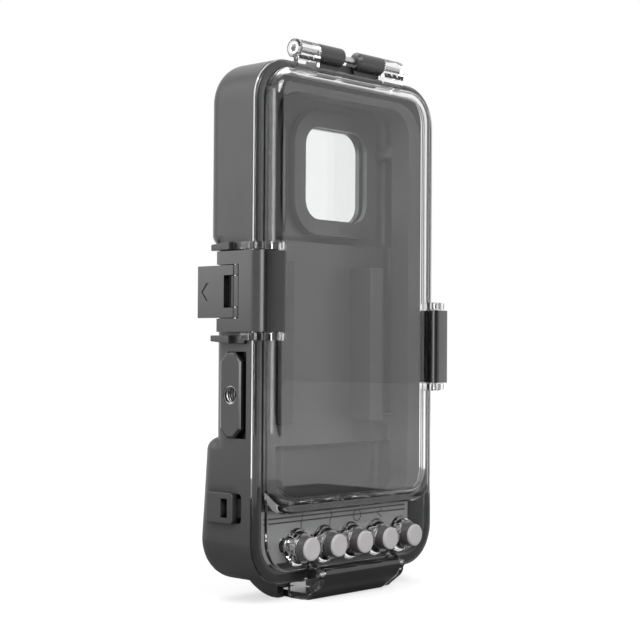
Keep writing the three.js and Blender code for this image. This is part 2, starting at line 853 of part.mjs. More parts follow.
// Clear cover
function coverBody() {
  const flange = roundedBlock({
    half: halfWidth, low: bottomZ, high: topZ, lowRadius: cornerRadius, plainY: coverRearY,
    edgeY: flangeFrontY, run: flangeEdge,
  });
  const window = roundedBlock({
    half: windowHalf, low: windowBaseZ, high: windowTopZ, lowRadius: windowCorner,
    plainY: coverRearY - flangeThickness / 2, edgeY: -windowFrontY, run: shoulderRun,
    rise: windowFrontY + flangeFrontY,
  });
  const deck = roundedBlock({
    half: windowHalf, low: bottomZ + deckBottomLedge, high: windowBaseZ + windowCorner * 2,
    lowRadius: windowCorner, plainY: coverRearY - flangeThickness / 2, edgeY: -deckFrontY,
    run: deckEdgeRun, rise: deckFrontY + flangeFrontY,
  });
  return join([flange, window, deck]);
}

function coverHollow() {
  return roundedBlock({
    half: windowHalf - windowWall, low: windowBaseZ + shoulderRun + windowWall,
    high: windowTopZ - windowWall, lowRadius: windowCorner - windowWall,
    plainY: coverRearY + cutOverrun, edgeY: windowWall - windowFrontY, run: shoulderRun - windowWall,
    rise: windowFrontY + flangeFrontY - windowWall / 2,
  });
}

function coverHingeLugs() {
  const outline = [
    [coverRearY, topZ - jointDepth], [flangeFrontY, topZ - flangeLedge / 2],
    [-knuckleRadius, hingeZ], [coverRearY, hingeZ],
  ];
  const pieces = [];
  for (const side of [-1, 1]) {
    const from = side < 0 ? -clearKnuckleEnd : knuckleJointX;
    const to = side < 0 ? -knuckleJointX : clearKnuckleEnd;
    pieces.push(hingeKnuckle(from, to, 0, 0));
    pieces.push(alongX(outline.slice().reverse(), from, to));
  }
  return pieces;
}

// The clear ears on both sides of a latch
function clearEarPlan(latch, root) {
  return [
    [latch.edgeX - jointDepth - flangeLedge, coverRearY],
    [latch.edgeX + partingGap, coverRearY],
    [latch.edgeX + partingGap, latch.earRearY],
    ...sweptOutline(latch.earSweep).reverse(),
    ...arcPoints(pivotX, pivotY, earNoseRadius, -38, -200, cornerSteps),
    root,
  ];
}

function clearEars(latch) {
  const windowRoot = [windowHalf - shoulderRun, jointDepth - windowFrontY];
  const deckRoot = [latch.edgeX - deckBottomLedge - earNoseRadius * 2, jointDepth - deckFrontY];
  const plan = clearEarPlan(latch, latch.edgeX < halfWidth ? deckRoot : windowRoot).reverse();
  const lowTop = latch.low - earSideGap;
  const highLow = latch.low + latch.length + earSideGap;
  return [
    latch.place(alongZ(plan, lowTop - clearEarThickness, lowTop)),
    latch.place(alongZ(plan, highLow, highLow + clearEarThickness)),
  ];
}

function coverBosses() {
  return buttonXs.map((x) => turned([
    [0, -deckFrontY + jointDepth], [bossBaseRadius, -deckFrontY + jointDepth],
    [bossBaseRadius, -deckFrontY], [bossRimRadius, bossRimY], [0, bossRimY],
  ].reverse(), x, buttonZ));
}

function coverGuides() {
  return buttonXs.map((x) => rodY(guideOuter, coverRearY - jointDepth, guideRearY, x, buttonZ));
}

function coverBores() {
  const bores = [];
  for (const x of buttonXs) {
    bores.push(rodY(barrelOuter + barrelGap, bossRimY - cutOverrun, -deckFrontY, x, buttonZ));
    bores.push(rodY(stemRadius + stemGap, -deckFrontY - cutOverrun, guideRearY, x, buttonZ,
      smallRoundSteps));
    bores.push(rodY(guideInner, guideSeatY, guideRearY + cutOverrun, x, buttonZ));
  }
  return bores;
}

function clampPinBore(latch) {
  const reach = clearEarThickness + earSideGap - knuckleSideGap;
  return latch.place(rodZ(clampPinRadius + runningGap, latch.low - reach,
    latch.low + latch.length + reach, pivotX, pivotY, smallRoundSteps));
}

function coverHingeBores() {
  const headSeat = rodX(hingeHeadRadius + seatGap, -clearKnuckleEnd - cutOverrun,
    -clearKnuckleEnd + hingeHeadLength + hingeHeadSink, 0, hingeZ);
  const pin = rodX(hingePinRadius + runningGap, -clearKnuckleEnd, clearKnuckleEnd - hingeEndWall, 0,
    hingeZ, smallRoundSteps);
  return [headSeat, pin];
}

function frontCover() {
  const body = join([
    coverBody(), ...coverHingeLugs(), ...latches.flatMap(clearEars), ...coverBosses(),
    ...coverGuides(),
  ]);
  const bores = [...coverBores(), ...latches.map(clampPinBore), ...coverHingeBores()];
  return cut(body, [coverHollow(), ...bores]);
}

// Hinge pin with its screw head at the left end
function hingePin() {
  const from = -clearKnuckleEnd + hingeHeadSink;
  const shank = rodX(hingePinRadius, from + starDepth, clearKnuckleEnd - hingeEndWall - seatGap, 0,
    hingeZ, smallRoundSteps);
  const head = rodX(hingeHeadRadius, from, from + hingeHeadLength, 0, hingeZ);
  const socket = rodX(starRadius, from - cutOverrun, from + starDepth, 0, hingeZ, 6);
  return head.add(shank).subtract(socket);
}

// Latches
function clampPlan(latch) {
  const frontGapY = flangeFrontY - seatGap * 2;
  return [
    [latchInnerX, clampRearY], [latchInnerX, frontGapY],
    [(latchInnerX + pivotX + barrelRadius) / 2, frontGapY],
    ...arcPoints(pivotX, pivotY, barrelRadius, 20, 290, cornerSteps * 2),
    ...sweptOutline(latch.sweep),
    [latchPlaneX, clampRearY],
  ];
}

function latchClamp(latch) {
  const high = latch.low + latch.length;
  const margin = latchMargin(latch);
  const body = alongZ(clampPlan(latch), latch.low, high);
  const cutOut = box([latch.edgeX - cutOverrun, latchPlaneX + cutOverrun],
    [cutOutFrontY, clampRearY + cutOverrun], [latch.low + margin, high - margin]);
  const middle = (latch.low + high) / 2;
  const tongue = box([latchInnerX, latchPlaneX], [cutOutFrontY - jointDepth, tongueRearY],
    [middle - tongueLength / 2, middle + tongueLength / 2]);
  const pivot = rodZ(clampPinRadius + runningGap, latch.low - cutOverrun, high + cutOverrun, pivotX,
    pivotY, smallRoundSteps);
  const reach = leverRoom / 2 + leverPinSeat + knuckleSideGap;
  const leverBore = rodZ(leverPinRadius + runningGap, middle - reach, middle + reach, leverPinX,
    leverPinY, smallRoundSteps);
  return latch.place(cut(body.subtract(cutOut).add(tongue), [pivot, leverBore]));
}

function latchLever(latch) {
  const middle = latch.low + latch.length / 2;
  const half = leverRoom / 2 - seatGap;
  const slotHalf = tongueLength / 2 + seatGap;
  const plate = alongZ([
    [leverInnerX, leverFrontY], [leverOuterX - leverFrontChamfer, leverFrontY],
    [leverOuterX, leverFrontY + leverFrontChamfer], [leverOuterX, leverRearY - leverThickness / 2],
    [leverOuterX - leverThickness / 4, leverRearY], [leverInnerX, leverRearY],
  ], middle - half, middle + half);
  const slot = box([leverInnerX - cutOverrun, leverOuterX + cutOverrun],
    [leverFrontY - cutOverrun, slotRearY], [middle - slotHalf, middle + slotHalf]);
  const bore = rodZ(leverPinRadius + runningGap, middle - half - cutOverrun,
    middle + half + cutOverrun, leverPinX, leverPinY, smallRoundSteps);
  return latch.place(cut(plate, [slot, bore]));
}

function latchClampPin(latch) {
  const reach = clearEarThickness + earSideGap - knuckleSideGap * 2;
  return latch.place(rodZ(clampPinRadius, latch.low - reach, latch.low + latch.length + reach, pivotX,
    pivotY, smallRoundSteps));
}

function latchLeverPin(latch) {
  const middle = latch.low + latch.length / 2;
  const reach = leverRoom / 2 + leverPinSeat;
  return latch.place(rodZ(leverPinRadius, middle - reach, middle + reach, leverPinX, leverPinY,
    smallRoundSteps));
}

// Push buttons
function plunger(x) {
  const roofY = barrelFrontY + barrelRoof;
  const clipFrontY = guideRearY + clipGap;
  const clipRearY = clipFrontY + clipThickness;
  const grooveRadius = stemRadius - clipGrooveDepth;
  return turned([
    [0, barrelFrontY], [barrelOuter, barrelFrontY], [barrelOuter, barrelSkirtY],
    [barrelInner, barrelSkirtY], [barrelInner, roofY], [stemRadius, roofY],
    [stemRadius, clipFrontY], [grooveRadius, clipFrontY], [grooveRadius, clipRearY],
    [stemRadius, clipRearY], [stemRadius, stemEndY], [0, stemEndY],
  ], x, buttonZ);
}

function buttonCap(x) {
  const frontY = barrelFrontY - capThickness;
  return turned([
    [0, frontY], [capRadius - capEdge, frontY], [capRadius, frontY + capEdge],
    [capRadius, barrelFrontY], [0, barrelFrontY],
  ], x, buttonZ);
}

function buttonSeal(x) {
  const ring = new THREE.TorusGeometry(stemRadius + buttonSealRadius + runningGap, buttonSealRadius,
    springSides + 1, smallRoundSteps);
  return toSolid(ring.rotateX(Math.PI / 2).translate(x, buttonSealY, buttonZ));
}

function stemClip(x) {
  const frontY = guideRearY + clipGap * 1.25;
  const rearY = frontY + clipThickness - clipGap * 0.5;
  return tube(clipRadius, stemRadius - clipGrooveDepth / 3, frontY, rearY, x, buttonZ, smallRoundSteps);
}

// A coil of round wire about a line along Y, as one tube with flat ends
function buttonSpring(x) {
  const frontY = barrelFrontY + barrelRoof + springEndGap + springWireRadius;
  const rearY = -deckFrontY - springEndGap - springWireRadius;
  const steps = springTurns * springSteps;
  const positions = [];
  for (let i = 0; i <= steps; i += 1) {
    const turn = (2 * Math.PI * i) / springSteps;
    const along = frontY + ((rearY - frontY) * i) / steps;
    for (let side = 0; side < springSides; side += 1) {
      const angle = (2 * Math.PI * side) / springSides;
      const radius = springMeanRadius + springWireRadius * Math.cos(angle);
      positions.push(x + radius * Math.cos(turn), along + springWireRadius * Math.sin(angle),
        buttonZ + radius * Math.sin(turn));
    }
  }
  const index = [];
  for (let i = 0; i < steps; i += 1) {
    for (let side = 0; side < springSides; side += 1) {
      const here = i * springSides + side;
      const beside = i * springSides + ((side + 1) % springSides);
      index.push(here, beside, beside + springSides);
      index.push(here, beside + springSides, here + springSides);
    }
  }
  const last = steps * springSides;
  for (let side = 1; side < springSides - 1; side += 1) {
    index.push(0, side + 1, side);
    index.push(last, last + side, last + side + 1);
  }
  const geometry = new THREE.BufferGeometry();
  geometry.setAttribute('position', new THREE.Float32BufferAttribute(positions, 3));
  geometry.setIndex(index);
  return toSolid(geometry);
}

function springGap() {
  const length = -deckFrontY - barrelFrontY - barrelRoof - 2 * (springEndGap + springWireRadius);
  return length / springTurns - 2 * springWireRadius;
}

// Controls
function controlPanel() {
  const plate = alongY(
    roundedRectangle(0, panelHalfWidth, panelBottomZ, panelTopZ, innerCornerLeast * 3),
    panelFrontY,
    panelFrontY + panelThickness,
  );
  const holes = buttonXs.map((x) => rodY(panelHoleRadius, panelFrontY - cutOverrun,
    panelFrontY + panelThickness + cutOverrun, x, buttonZ));
  return cut(plate, holes);
}

function controlBoard() {
  const board = box([-boardHalfWidth, boardHalfWidth], [boardFrontY, boardRearY],
    [buttonZ - boardHalfHeight, buttonZ + boardHalfHeight]);
  return join([board, ...buttonXs.map(keySwitch)]);
}

function keySwitch(x) {
  const body = box([x - switchHalf, x + switchHalf],
    [boardFrontY - switchHeight / 2, boardFrontY + boardThickness / 2],
    [buttonZ - switchHalf, buttonZ + switchHalf]);
  const dome = rodY(switchHalf * 0.6, switchTopY, boardFrontY, x, buttonZ, smallRoundSteps);
  return body.add(dome);
}

function batteryCell(side) {
  const centre = side * cellCentreX;
  const endX = centre + cellLength / 2;
  const body = rodX(cellRadius, centre - cellLength / 2, endX, cellY, cellZ);
  return body.add(rodX(cellNubRadius, endX - cellNubLength, endX + cellNubLength, cellY, cellZ,
    smallRoundSteps));
}

function trayBounds() {
  const low = cellZ - cellRadius - seatGap;
  const high = cellZ + cellRadius + seatGap;
  const floorY = cellY + cellRadius + seatGap;
  return { low, high, floorY };
}

function batteryTray() {
  const { low, high, floorY } = trayBounds();
  const body = roundedBlock({
    half: trayInnerHalf + trayWall, low: low - trayWall, high: high + trayWall, lowRadius: trayCorner,
    plainY: boardRearY, edgeY: floorY + trayFloor, run: trayEdge,
  });
  const hollow = alongY(roundedRectangle(0, trayInnerHalf, low, high, trayCorner - trayWall),
    boardRearY - cutOverrun, floorY);
  return body.subtract(hollow);
}

function cellContact(side) {
  const { low, high } = trayBounds();
  const outerX = side * trayInnerHalf;
  const innerX = side * (trayInnerHalf - contactThickness);
  return box([Math.min(outerX, innerX), Math.max(outerX, innerX)],
    [cellY - cellRadius, cellY + cellRadius], [low + trayCorner, high - trayCorner]);
}

// Camera bay
function cradle() {
  const outerCorner = cradleInnerCorner + cradleHalfWidth - cradleInnerHalf;
  const outer = roundedRectangle(0, cradleHalfWidth, cradleBottomZ, cradleTopZ,
    outerCorner * 0.5, outerCorner * 0.8);
  const inner = roundedRectangle(0, cradleInnerHalf, cradleBottomZ + cradleBottomRim,
    cradleTopZ - cradleRim, cradleInnerCorner * 0.6, cradleInnerCorner);
  const tripodRoom = rodX(tripodBossRadius + seatGap * 2, -innerHalf,
    -insertInnerX + insertEndGap + tripodBossEnd + seatGap * 2, tripodY, tripodZ);
  const frame = alongY(outer, cradleFrontY, cradleRearY)
    .subtract(alongY(inner, cradleFrontY - cutOverrun, cradleRearY + cutOverrun));
  return frame.subtract(tripodRoom);
}

function restPad(side) {
  const x = side * padX;
  return box([x - padHalf, x + padHalf], [padFrontY, cradleBackY], [padLowZ, padHighZ]);
}

// Camera window
function portGasket() {
  return alongY(portOutline(paneHalf), gasketFrontY, paneFrontY)
    .subtract(alongY(portOutline(portHalf), gasketFrontY - cutOverrun, paneFrontY + cutOverrun));
}

function portPane() {
  return alongY(portOutline(paneHalf), paneFrontY, paneRearY);
}

function portScrewPlaces() {
  const places = [];
  for (const sideX of [-1, 1]) {
    for (const sideZ of [-1, 1]) {
      places.push([portX + sideX * portScrewOffset, portZ + sideZ * portScrewOffset]);
    }
  }
  return places;
}

function portRing() {
  const outer = roundedBlock({
    centre: portX, half: portRingHalf, low: portZ - portRingHalf, high: portZ + portRingHalf,
    lowRadius: portCorner + portRingHalf - portHalf, plainY: upperDepth,
    edgeY: upperDepth + portRingThickness, run: portRingEdge,
  });
  const window = alongY(portOutline(portHalf), upperDepth - cutOverrun,
    upperDepth + portRingThickness + cutOverrun);
  const headY = upperDepth + portRingThickness - portScrewHead;
  const sinks = portScrewPlaces().map(([x, z]) => rodY(portScrewRadius + seatGap, headY,
    upperDepth + portRingThickness + cutOverrun, x, z, smallRoundSteps));
  return cut(outer, [window, ...sinks]);
}

function portScrew([x, z]) {
  const rearY = upperDepth + portRingThickness;
  const head = rodY(portScrewRadius, rearY - portScrewHead, rearY, x, z, smallRoundSteps);
  const socket = rodY(portScrewRadius / 2, rearY - portScrewHead / 2, rearY + cutOverrun, x, z, 6);
  return head.subtract(socket);
}

// Tripod socket
function tripodPlate() {
  const plate = alongX(tripodOutline(), -insertOuterX, -halfWidth);
  return plate.subtract(rodX(tripodHoleRadius, -insertOuterX - cutOverrun, -halfWidth + cutOverrun,
    tripodY, tripodZ));
}

function threadInsert() {
  return rodX(insertRadius, -insertOuterX, -insertInnerX, tripodY, tripodZ)
    .subtract(rodX(insertBore, -insertOuterX - cutOverrun, -insertInnerX + cutOverrun, tripodY,
      tripodZ));
}

addNode('back_shell', backShell(), shellPlastic);
addNode('main_seal', sealRing(sealSideGap, -sealStandOut, sealGrooveDepth), sealRubber);
addNode('front_cover', frontCover(), clearPlastic);
addNode('hinge_pin', hingePin(), steel);

for (const latch of latches) {
  addNode(`clamp_${latch.side}`, latchClamp(latch), latchPlastic);
  addNode(`lever_${latch.side}`, latchLever(latch), latchPlastic);
  addNode(`clamp_pin_${latch.side}`, latchClampPin(latch), steel);
  addNode(`lever_pin_${latch.side}`, latchLeverPin(latch), steel);
}

buttonXs.forEach((x, i) => {
  addNode(`button_barrel_${i + 1}`, plunger(x), barrelPlastic);
  addNode(`button_cap_${i + 1}`, buttonCap(x), capPlastic);
  addNode(`button_seal_${i + 1}`, buttonSeal(x), sealRubber);
  addNode(`button_clip_${i + 1}`, stemClip(x), steel);
  addNode(`button_spring_${i + 1}`, buttonSpring(x), steel);
});

addNode('control_panel', controlPanel(), panelPlastic);
addNode('control_board', controlBoard(), boardGreen);
addNode('battery_cell_1', batteryCell(-1), cellWrap);
addNode('battery_cell_2', batteryCell(1), cellWrap);
addNode('battery_tray', batteryTray(), panelPlastic);
addNode('cell_contact_left', cellContact(-1), brass);
addNode('cell_contact_right', cellContact(1), brass);

addNode('device_cradle', cradle(), padRubber);
addNode('rest_pad_left', restPad(-1), padRubber);
addNode('rest_pad_right', restPad(1), padRubber);

addNode('port_gasket', portGasket(), sealRubber);
addNode('port_pane', portPane(), glass);
addNode('port_ring', portRing(), latchPlastic);
portScrewPlaces().forEach((place, i) => addNode(`port_screw_${i + 1}`, portScrew(place), steel));

addNode('tripod_plate', tripodPlate(), latchPlastic);
addNode('thread_insert', threadInsert(), steel);

console.log(`button spring: least gap between turns ${springGap().toFixed(2)} mm`);

export default group;
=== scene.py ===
import math

import bmesh
import bpy
from mathutils import Matrix, Vector


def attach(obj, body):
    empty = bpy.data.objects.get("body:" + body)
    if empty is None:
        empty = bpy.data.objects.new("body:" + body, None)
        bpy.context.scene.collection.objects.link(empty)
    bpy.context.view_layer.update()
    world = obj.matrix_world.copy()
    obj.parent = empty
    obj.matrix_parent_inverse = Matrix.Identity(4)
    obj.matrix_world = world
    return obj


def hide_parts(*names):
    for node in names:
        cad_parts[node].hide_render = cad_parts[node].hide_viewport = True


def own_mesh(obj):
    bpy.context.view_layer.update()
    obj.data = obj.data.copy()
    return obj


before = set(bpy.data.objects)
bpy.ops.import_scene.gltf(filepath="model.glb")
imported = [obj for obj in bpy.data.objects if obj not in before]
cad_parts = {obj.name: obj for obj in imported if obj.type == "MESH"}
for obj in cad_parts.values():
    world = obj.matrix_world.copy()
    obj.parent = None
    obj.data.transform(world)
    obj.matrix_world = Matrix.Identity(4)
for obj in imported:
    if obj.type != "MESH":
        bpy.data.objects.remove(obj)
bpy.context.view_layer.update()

scene = bpy.context.scene
scene.view_settings.view_transform = "Standard"
mm = 0.001  # all sizes below are in millimetres
over = 1.0  # how far a cutter, or a piece joined to another, reaches past the face where they meet
print("housing: frame loaded")

# levels and sizes that several pieces share; "root" is how deep an added piece stands in a wall
housing = {
    "half": 53.2, "bottom": 7.8, "top": 208.0, "corner": 16.5,
    "coverRear": -0.3, "flangeFront": -2.1, "hingeZ": 213.5,
    "latchPlane": 57.1, "pivotX": 46.5, "pivotY": -8.6, "pivotBore": 1.0,
    "buttonZ": 21.5, "buttonPitch": 15.451, "root": 0.8,
    "upperDepth": 26.1, "waistDepth": 22.4, "lowerDepth": 30.8,
}
buttonXs = [housing["buttonPitch"] * i for i in range(-2, 3)]


def arcPoints(centreA, centreB, radius, fromDegrees, toDegrees, steps):
    turns = [math.radians(fromDegrees + (toDegrees - fromDegrees) * i / steps) for i in range(steps + 1)]
    return [(centreA + radius * math.cos(a), centreB + radius * math.sin(a)) for a in turns]


def circlePoints(centreA, centreB, radius, steps):
    return arcPoints(centreA, centreB, radius, 0, 360 - 360 / steps, steps - 1)


def roundedRectangle(centreA, half, low, high, lowRadius, highRadius=None, steps=14):
    highRadius = lowRadius if highRadius is None else highRadius
    left, right = centreA - half, centreA + half
    return [
        *arcPoints(right - lowRadius, low + lowRadius, lowRadius, -90, 0, steps),
        *arcPoints(right - highRadius, high - highRadius, highRadius, 0, 90, steps),
        *arcPoints(left + highRadius, high - highRadius, highRadius, 90, 180, steps),
        *arcPoints(left + lowRadius, low + lowRadius, lowRadius, 180, 270, steps),
    ]


def reshaped(obj, change):  # change works on the object's mesh in edit form
    shape = bmesh.new()
    shape.from_mesh(obj.data)
    change(shape)
    shape.to_mesh(obj.data)
    shape.free()
    return obj


def outwards(shape):
    bmesh.ops.remove_doubles(shape, verts=shape.verts, dist=1e-7)
    bmesh.ops.recalc_face_normals(shape, faces=shape.faces)


def meshObject(name, points, faces):
    mesh = bpy.data.meshes.new(name)
    mesh.from_pydata([Vector(point) * mm for point in points], [], faces)
    obj = bpy.data.objects.new(name, mesh)
    scene.collection.objects.link(obj)
    return reshaped(obj, outwards)


def loft(name, rings):  # rings of as many points each, closed at both ends
    count = len(rings[0])
    points = [point for ring in rings for point in ring]
    faces = [list(range(count)), list(range(len(points) - count, len(points)))]
    for ring in range(len(rings) - 1):
        for i in range(count):
            here, there = ring * count + i, ring * count + (i + 1) % count
            faces.append([here, there, there + count, here + count])
    return meshObject(name, points, faces)


def roundedBlock(name, half, low, high, lowRadius, highRadius, plainY, edgeY, run, rise=None,
                 centre=0.0, depthShare=None, steps=14, edgeSteps=8):
    rise = run if rise is None else rise
    direction = 1 if edgeY > plainY else -1
    levels = [(0.0, plainY)]
    for i in range(edgeSteps + 1):
        angle = math.pi / 2 * i / edgeSteps
        levels.append((run * (1 - math.cos(angle)), edgeY - direction * rise * (1 - math.sin(angle))))
    rings = []
    for inset, y in levels:
        outline = roundedRectangle(centre, half - inset, low + inset, high - inset,
                                   max(lowRadius - inset, 1), max(highRadius - inset, 1), steps)
        rings.append([(x, y * (depthShare(z) if depthShare else 1), z) for x, z in outline])
    return loft(name, rings)


def edgesRounded(obj, width, steps=3, angle=30):
    def roundOff(shape):
        sharp = [edge for edge in shape.edges
                 if len(edge.link_faces) == 2 and edge.calc_face_angle(0) > math.radians(angle)]
        bmesh.ops.bevel(shape, geom=sharp, offset=width * mm, segments=steps, profile=0.5,
                        affect="EDGES", clamp_overlap=True)
    return reshaped(obj, roundOff)


def prism(name, outline, axis, low, high, edge=0.0, steps=3):
    inAxis = {"x": lambda a, b, s: (s, a, b), "y": lambda a, b, s: (a, s, b), "z": lambda a, b, s: (a, b, s)}
    obj = loft(name, [[inAxis[axis](a, b, along) for a, b in outline] for along in (low, high)])
    return edgesRounded(obj, edge, steps) if edge else obj


def box(name, x, y, z, edge=0.0):
    return prism(name, [(x[0], y[0]), (x[1], y[0]), (x[1], y[1]), (x[0], y[1])], "z", z[0], z[1], edge)


def rod(name, axis, radius, low, high, a, b, steps=48, edge=0.0):
    return prism(name, circlePoints(a, b, radius, steps), axis, low, high, edge)


def turned(name, profile, x, z, steps=64):  # (radius, y) points about a line along Y
    points, rows = [], []
    for radius, y in profile:
        rows.append(range(len(points), len(points) + steps))
        for i in range(steps):
            angle = 2 * math.pi * i / steps
            points.append((x + radius * math.cos(angle), y, z + radius * math.sin(angle)))
    faces = []
    closed = rows + [rows[0]] if profile[0][0] > 0 else rows
    for low, high in zip(closed, closed[1:]):
        for i in range(steps):
            k = (i + 1) % steps
            faces.append([low[i], low[k], high[k], high[i]])

    def withoutSlivers(shape):
        bmesh.ops.dissolve_degenerate(shape, dist=1e-7, edges=shape.edges)
        bmesh.ops.recalc_face_normals(shape, faces=shape.faces)
    return reshaped(meshObject(name, points, faces), withoutSlivers)


def baked(obj):  # applies every modifier to the object's own mesh
    graph = bpy.context.evaluated_depsgraph_get()
    graph.update()
    mesh = bpy.data.meshes.new_from_object(obj.evaluated_get(graph))
    obj.modifiers.clear()
    obj.data = mesh
    return obj


def combined(obj, others, operation="UNION"):
    for other in others:
        change = obj.modifiers.new("combine", "BOOLEAN")
        change.solver = "MANIFOLD"
        change.operation = operation
        change.object = other
    baked(obj)
    for other in others:
        bpy.data.objects.remove(other)
    return obj


def cutFrom(obj, cutters):
    return combined(obj, cutters, "DIFFERENCE")


def moved(obj, change):  # change takes a point in millimetres and gives its new place
    for vertex in obj.data.vertices:
        vertex.co = Vector(change(*(vertex.co / mm))) * mm
    return reshaped(obj, outwards)


def softened(obj, width=0.2, steps=2, angle=38):
    bevel = obj.modifiers.new("soften", "BEVEL")
    bevel.limit_method = "ANGLE"
    bevel.angle_limit = math.radians(angle)
    bevel.width = width * mm
    bevel.segments = steps
    bevel.use_clamp_overlap = True
    return baked(obj)


def placed(obj, finish, body, nodes=(), degrees=34):
    def shadeByAngle(shape):
        for face in shape.faces:
            face.smooth = True
        for edge in shape.edges:
            edge.smooth = len(edge.link_faces) != 2 or edge.calc_face_angle(0) < math.radians(degrees)
    reshaped(obj, shadeByAngle)
    weigh = obj.modifiers.new("weigh", "WEIGHTED_NORMAL")  # flat faces stay flat beside their soft edges
    weigh.keep_sharp = True
    baked(obj)
    obj.data.materials.clear()
    obj.data.materials.append(finishes[finish])
    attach(obj, body)
    if nodes:
        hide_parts(*nodes)
    return obj


# node helpers, for materials and for Geometry Nodes

def addNode(tree, kind, inputs, **settings):  # an input takes a value or another node's socket
    node = tree.nodes.new(kind)
    for label, value in settings.items():
        setattr(node, label, value)
    for label, value in inputs.items():
        if isinstance(value, bpy.types.NodeSocket):
            tree.links.new(value, node.inputs[label])
        else:
            node.inputs[label].default_value = value
    return node


def noise(tree, vector, scale, detail, roughness=0.55, distortion=0.0):
    return addNode(tree, "ShaderNodeTexNoise", {
        "Vector": vector, "Scale": scale, "Detail": detail, "Roughness": roughness,
        "Distortion": distortion}).outputs["Fac"]


def spread(tree, value, low, high, toLow, toHigh):
    return addNode(tree, "ShaderNodeMapRange", {
        "Value": value, "From Min": low, "From Max": high, "To Min": toLow,
        "To Max": toHigh}).outputs["Result"]


def blended(tree, factor, first, second, blend="MIX"):
    return addNode(tree, "ShaderNodeMix", {"Factor": factor, "A": first, "B": second},
                   data_type="RGBA", blend_type=blend).outputs["Result"]


# shader groups that several finishes share

def surfaceGroup(name, values):  # from a place and named values to colour, roughness and height
    tree = bpy.data.node_groups.new(name, "ShaderNodeTree")
    for label, value in {"Vector": (0, 0, 0), **values}.items():
        kind = "Float" if isinstance(value, float) else "Color" if len(value) == 4 else "Vector"
        socket = tree.interface.new_socket(name=label, in_out="INPUT", socket_type="NodeSocket" + kind)
        socket.default_value = value
    for label, kind in (("Color", "Color"), ("Roughness", "Float"), ("Height", "Float")):
        tree.interface.new_socket(name=label, in_out="OUTPUT", socket_type="NodeSocket" + kind)
    return tree, tree.nodes.new("NodeGroupInput").outputs


def groupEnd(tree, colour, roughness, height):
    addNode(tree, "NodeGroupOutput", {"Color": colour, "Roughness": roughness, "Height": height})
    return tree


def mouldedGroup():  # tone drift, painted shade darkening each piece's own recesses, grain and handling marks of plastic and rubber
    tree, given = surfaceGroup("mouldedSurface", {
        "Tone": (0.1, 0.1, 0.1, 1), "Drift Tone": (0.12, 0.12, 0.12, 1), "Grain Scale": 2500.0,
        "Smooth": 0.4, "Rough": 0.55})
    place = given["Vector"]
    drift = spread(tree, noise(tree, place, scale=22.0, detail=3.0), 0.35, 0.65, 0.0, 1.0)
    tone = blended(tree, drift, given["Tone"], given["Drift Tone"])
    # painted shade: the colour is darkened where the piece's own walls stand close, in recesses, slots and
    # creases
    paintedRecessShade = addNode(tree, "ShaderNodeAmbientOcclusion", {"Distance": 3.5 * mm}, samples=6, only_local=True)
    depth = addNode(tree, "ShaderNodeMath", {0: paintedRecessShade.outputs["AO"], 1: 3.0}, operation="POWER")
    shaded = blended(tree, 1.0, tone, depth.outputs["Value"], "MULTIPLY")
    marks = noise(tree, place, scale=60.0, detail=6.0, roughness=0.65)
    wear = spread(tree, marks, 0.3, 0.7, given["Smooth"], given["Rough"])
    return groupEnd(tree, shaded, wear, noise(tree, place, scale=given["Grain Scale"], detail=2.0))


def polishedGroup():  # faint ripple and wiped smears of clear plastic and glass
    tree, given = surfaceGroup("polishedSurface", {
        "Clear Tone": (0.95, 0.97, 0.97, 1), "Smear Tone": (0.9, 0.93, 0.94, 1), "Polish": 0.0,
        "Smear": 0.05})
    place = given["Vector"]
    smears = noise(tree, place, scale=35.0, detail=5.0, roughness=0.6, distortion=0.6)
    tone = blended(tree, spread(tree, smears, 0.4, 0.75, 0.0, 1.0), given["Clear Tone"],
                   given["Smear Tone"])
    wiped = spread(tree, smears, 0.45, 0.8, given["Polish"], given["Smear"])
    return groupEnd(tree, tone, wiped, noise(tree, place, scale=40.0, detail=1.0))


def drawnMetalGroup():  # drawing lines and worn spots of small metal parts
    tree, given = surfaceGroup("drawnMetal", {
        "Bright": (0.6, 0.6, 0.6, 1), "Dull": (0.4, 0.4, 0.4, 1), "Stretch": (1, 1, 1)})
    drawn = addNode(tree, "ShaderNodeMapping", {"Vector": given["Vector"], "Scale": given["Stretch"]})
    spots = noise(tree, given["Vector"], scale=250.0, detail=5.0)
    tone = blended(tree, spots, given["Bright"], given["Dull"])
    return groupEnd(tree, tone, spread(tree, spots, 0.3, 0.7, 0.18, 0.34),
                    noise(tree, drawn.outputs["Vector"], scale=900.0, detail=3.0))


mouldedSurface, polishedSurface, drawnMetal = mouldedGroup(), polishedGroup(), drawnMetalGroup()


def newMaterial(name, group, values, bumpStrength, bumpDistance, settings):
    material = bpy.data.materials.new(name)
    material.use_nodes = True
    tree = material.node_tree
    shader = tree.nodes["Principled BSDF"]
    place = tree.nodes.new("ShaderNodeTexCoord").outputs["Object"]
    surface = tree.nodes.new("ShaderNodeGroup")
    surface.node_tree = group
    tree.links.new(place, surface.inputs["Vector"])
    for label, value in values.items():
        surface.inputs[label].default_value = value
    bump = addNode(tree, "ShaderNodeBump", {
        "Strength": bumpStrength, "Distance": bumpDistance * mm, "Height": surface.outputs["Height"]})
    tree.links.new(surface.outputs["Color"], shader.inputs["Base Color"])
    tree.links.new(surface.outputs["Roughness"], shader.inputs["Roughness"])
    tree.links.new(bump.outputs["Normal"], shader.inputs["Normal"])
    for label, value in settings.items():
        shader.inputs[label].default_value = value
    return material


def moulded(name, tone, drift, smooth, rough, grain=2500.0, bump=0.25, specular=0.5):
    values = {"Tone": (*tone, 1), "Drift Tone": (*drift, 1), "Smooth": smooth, "Rough": rough,
              "Grain Scale": grain}
    return newMaterial(name, mouldedSurface, values, bump, 0.05,
                       {"Metallic": 0.0, "Specular IOR Level": specular})


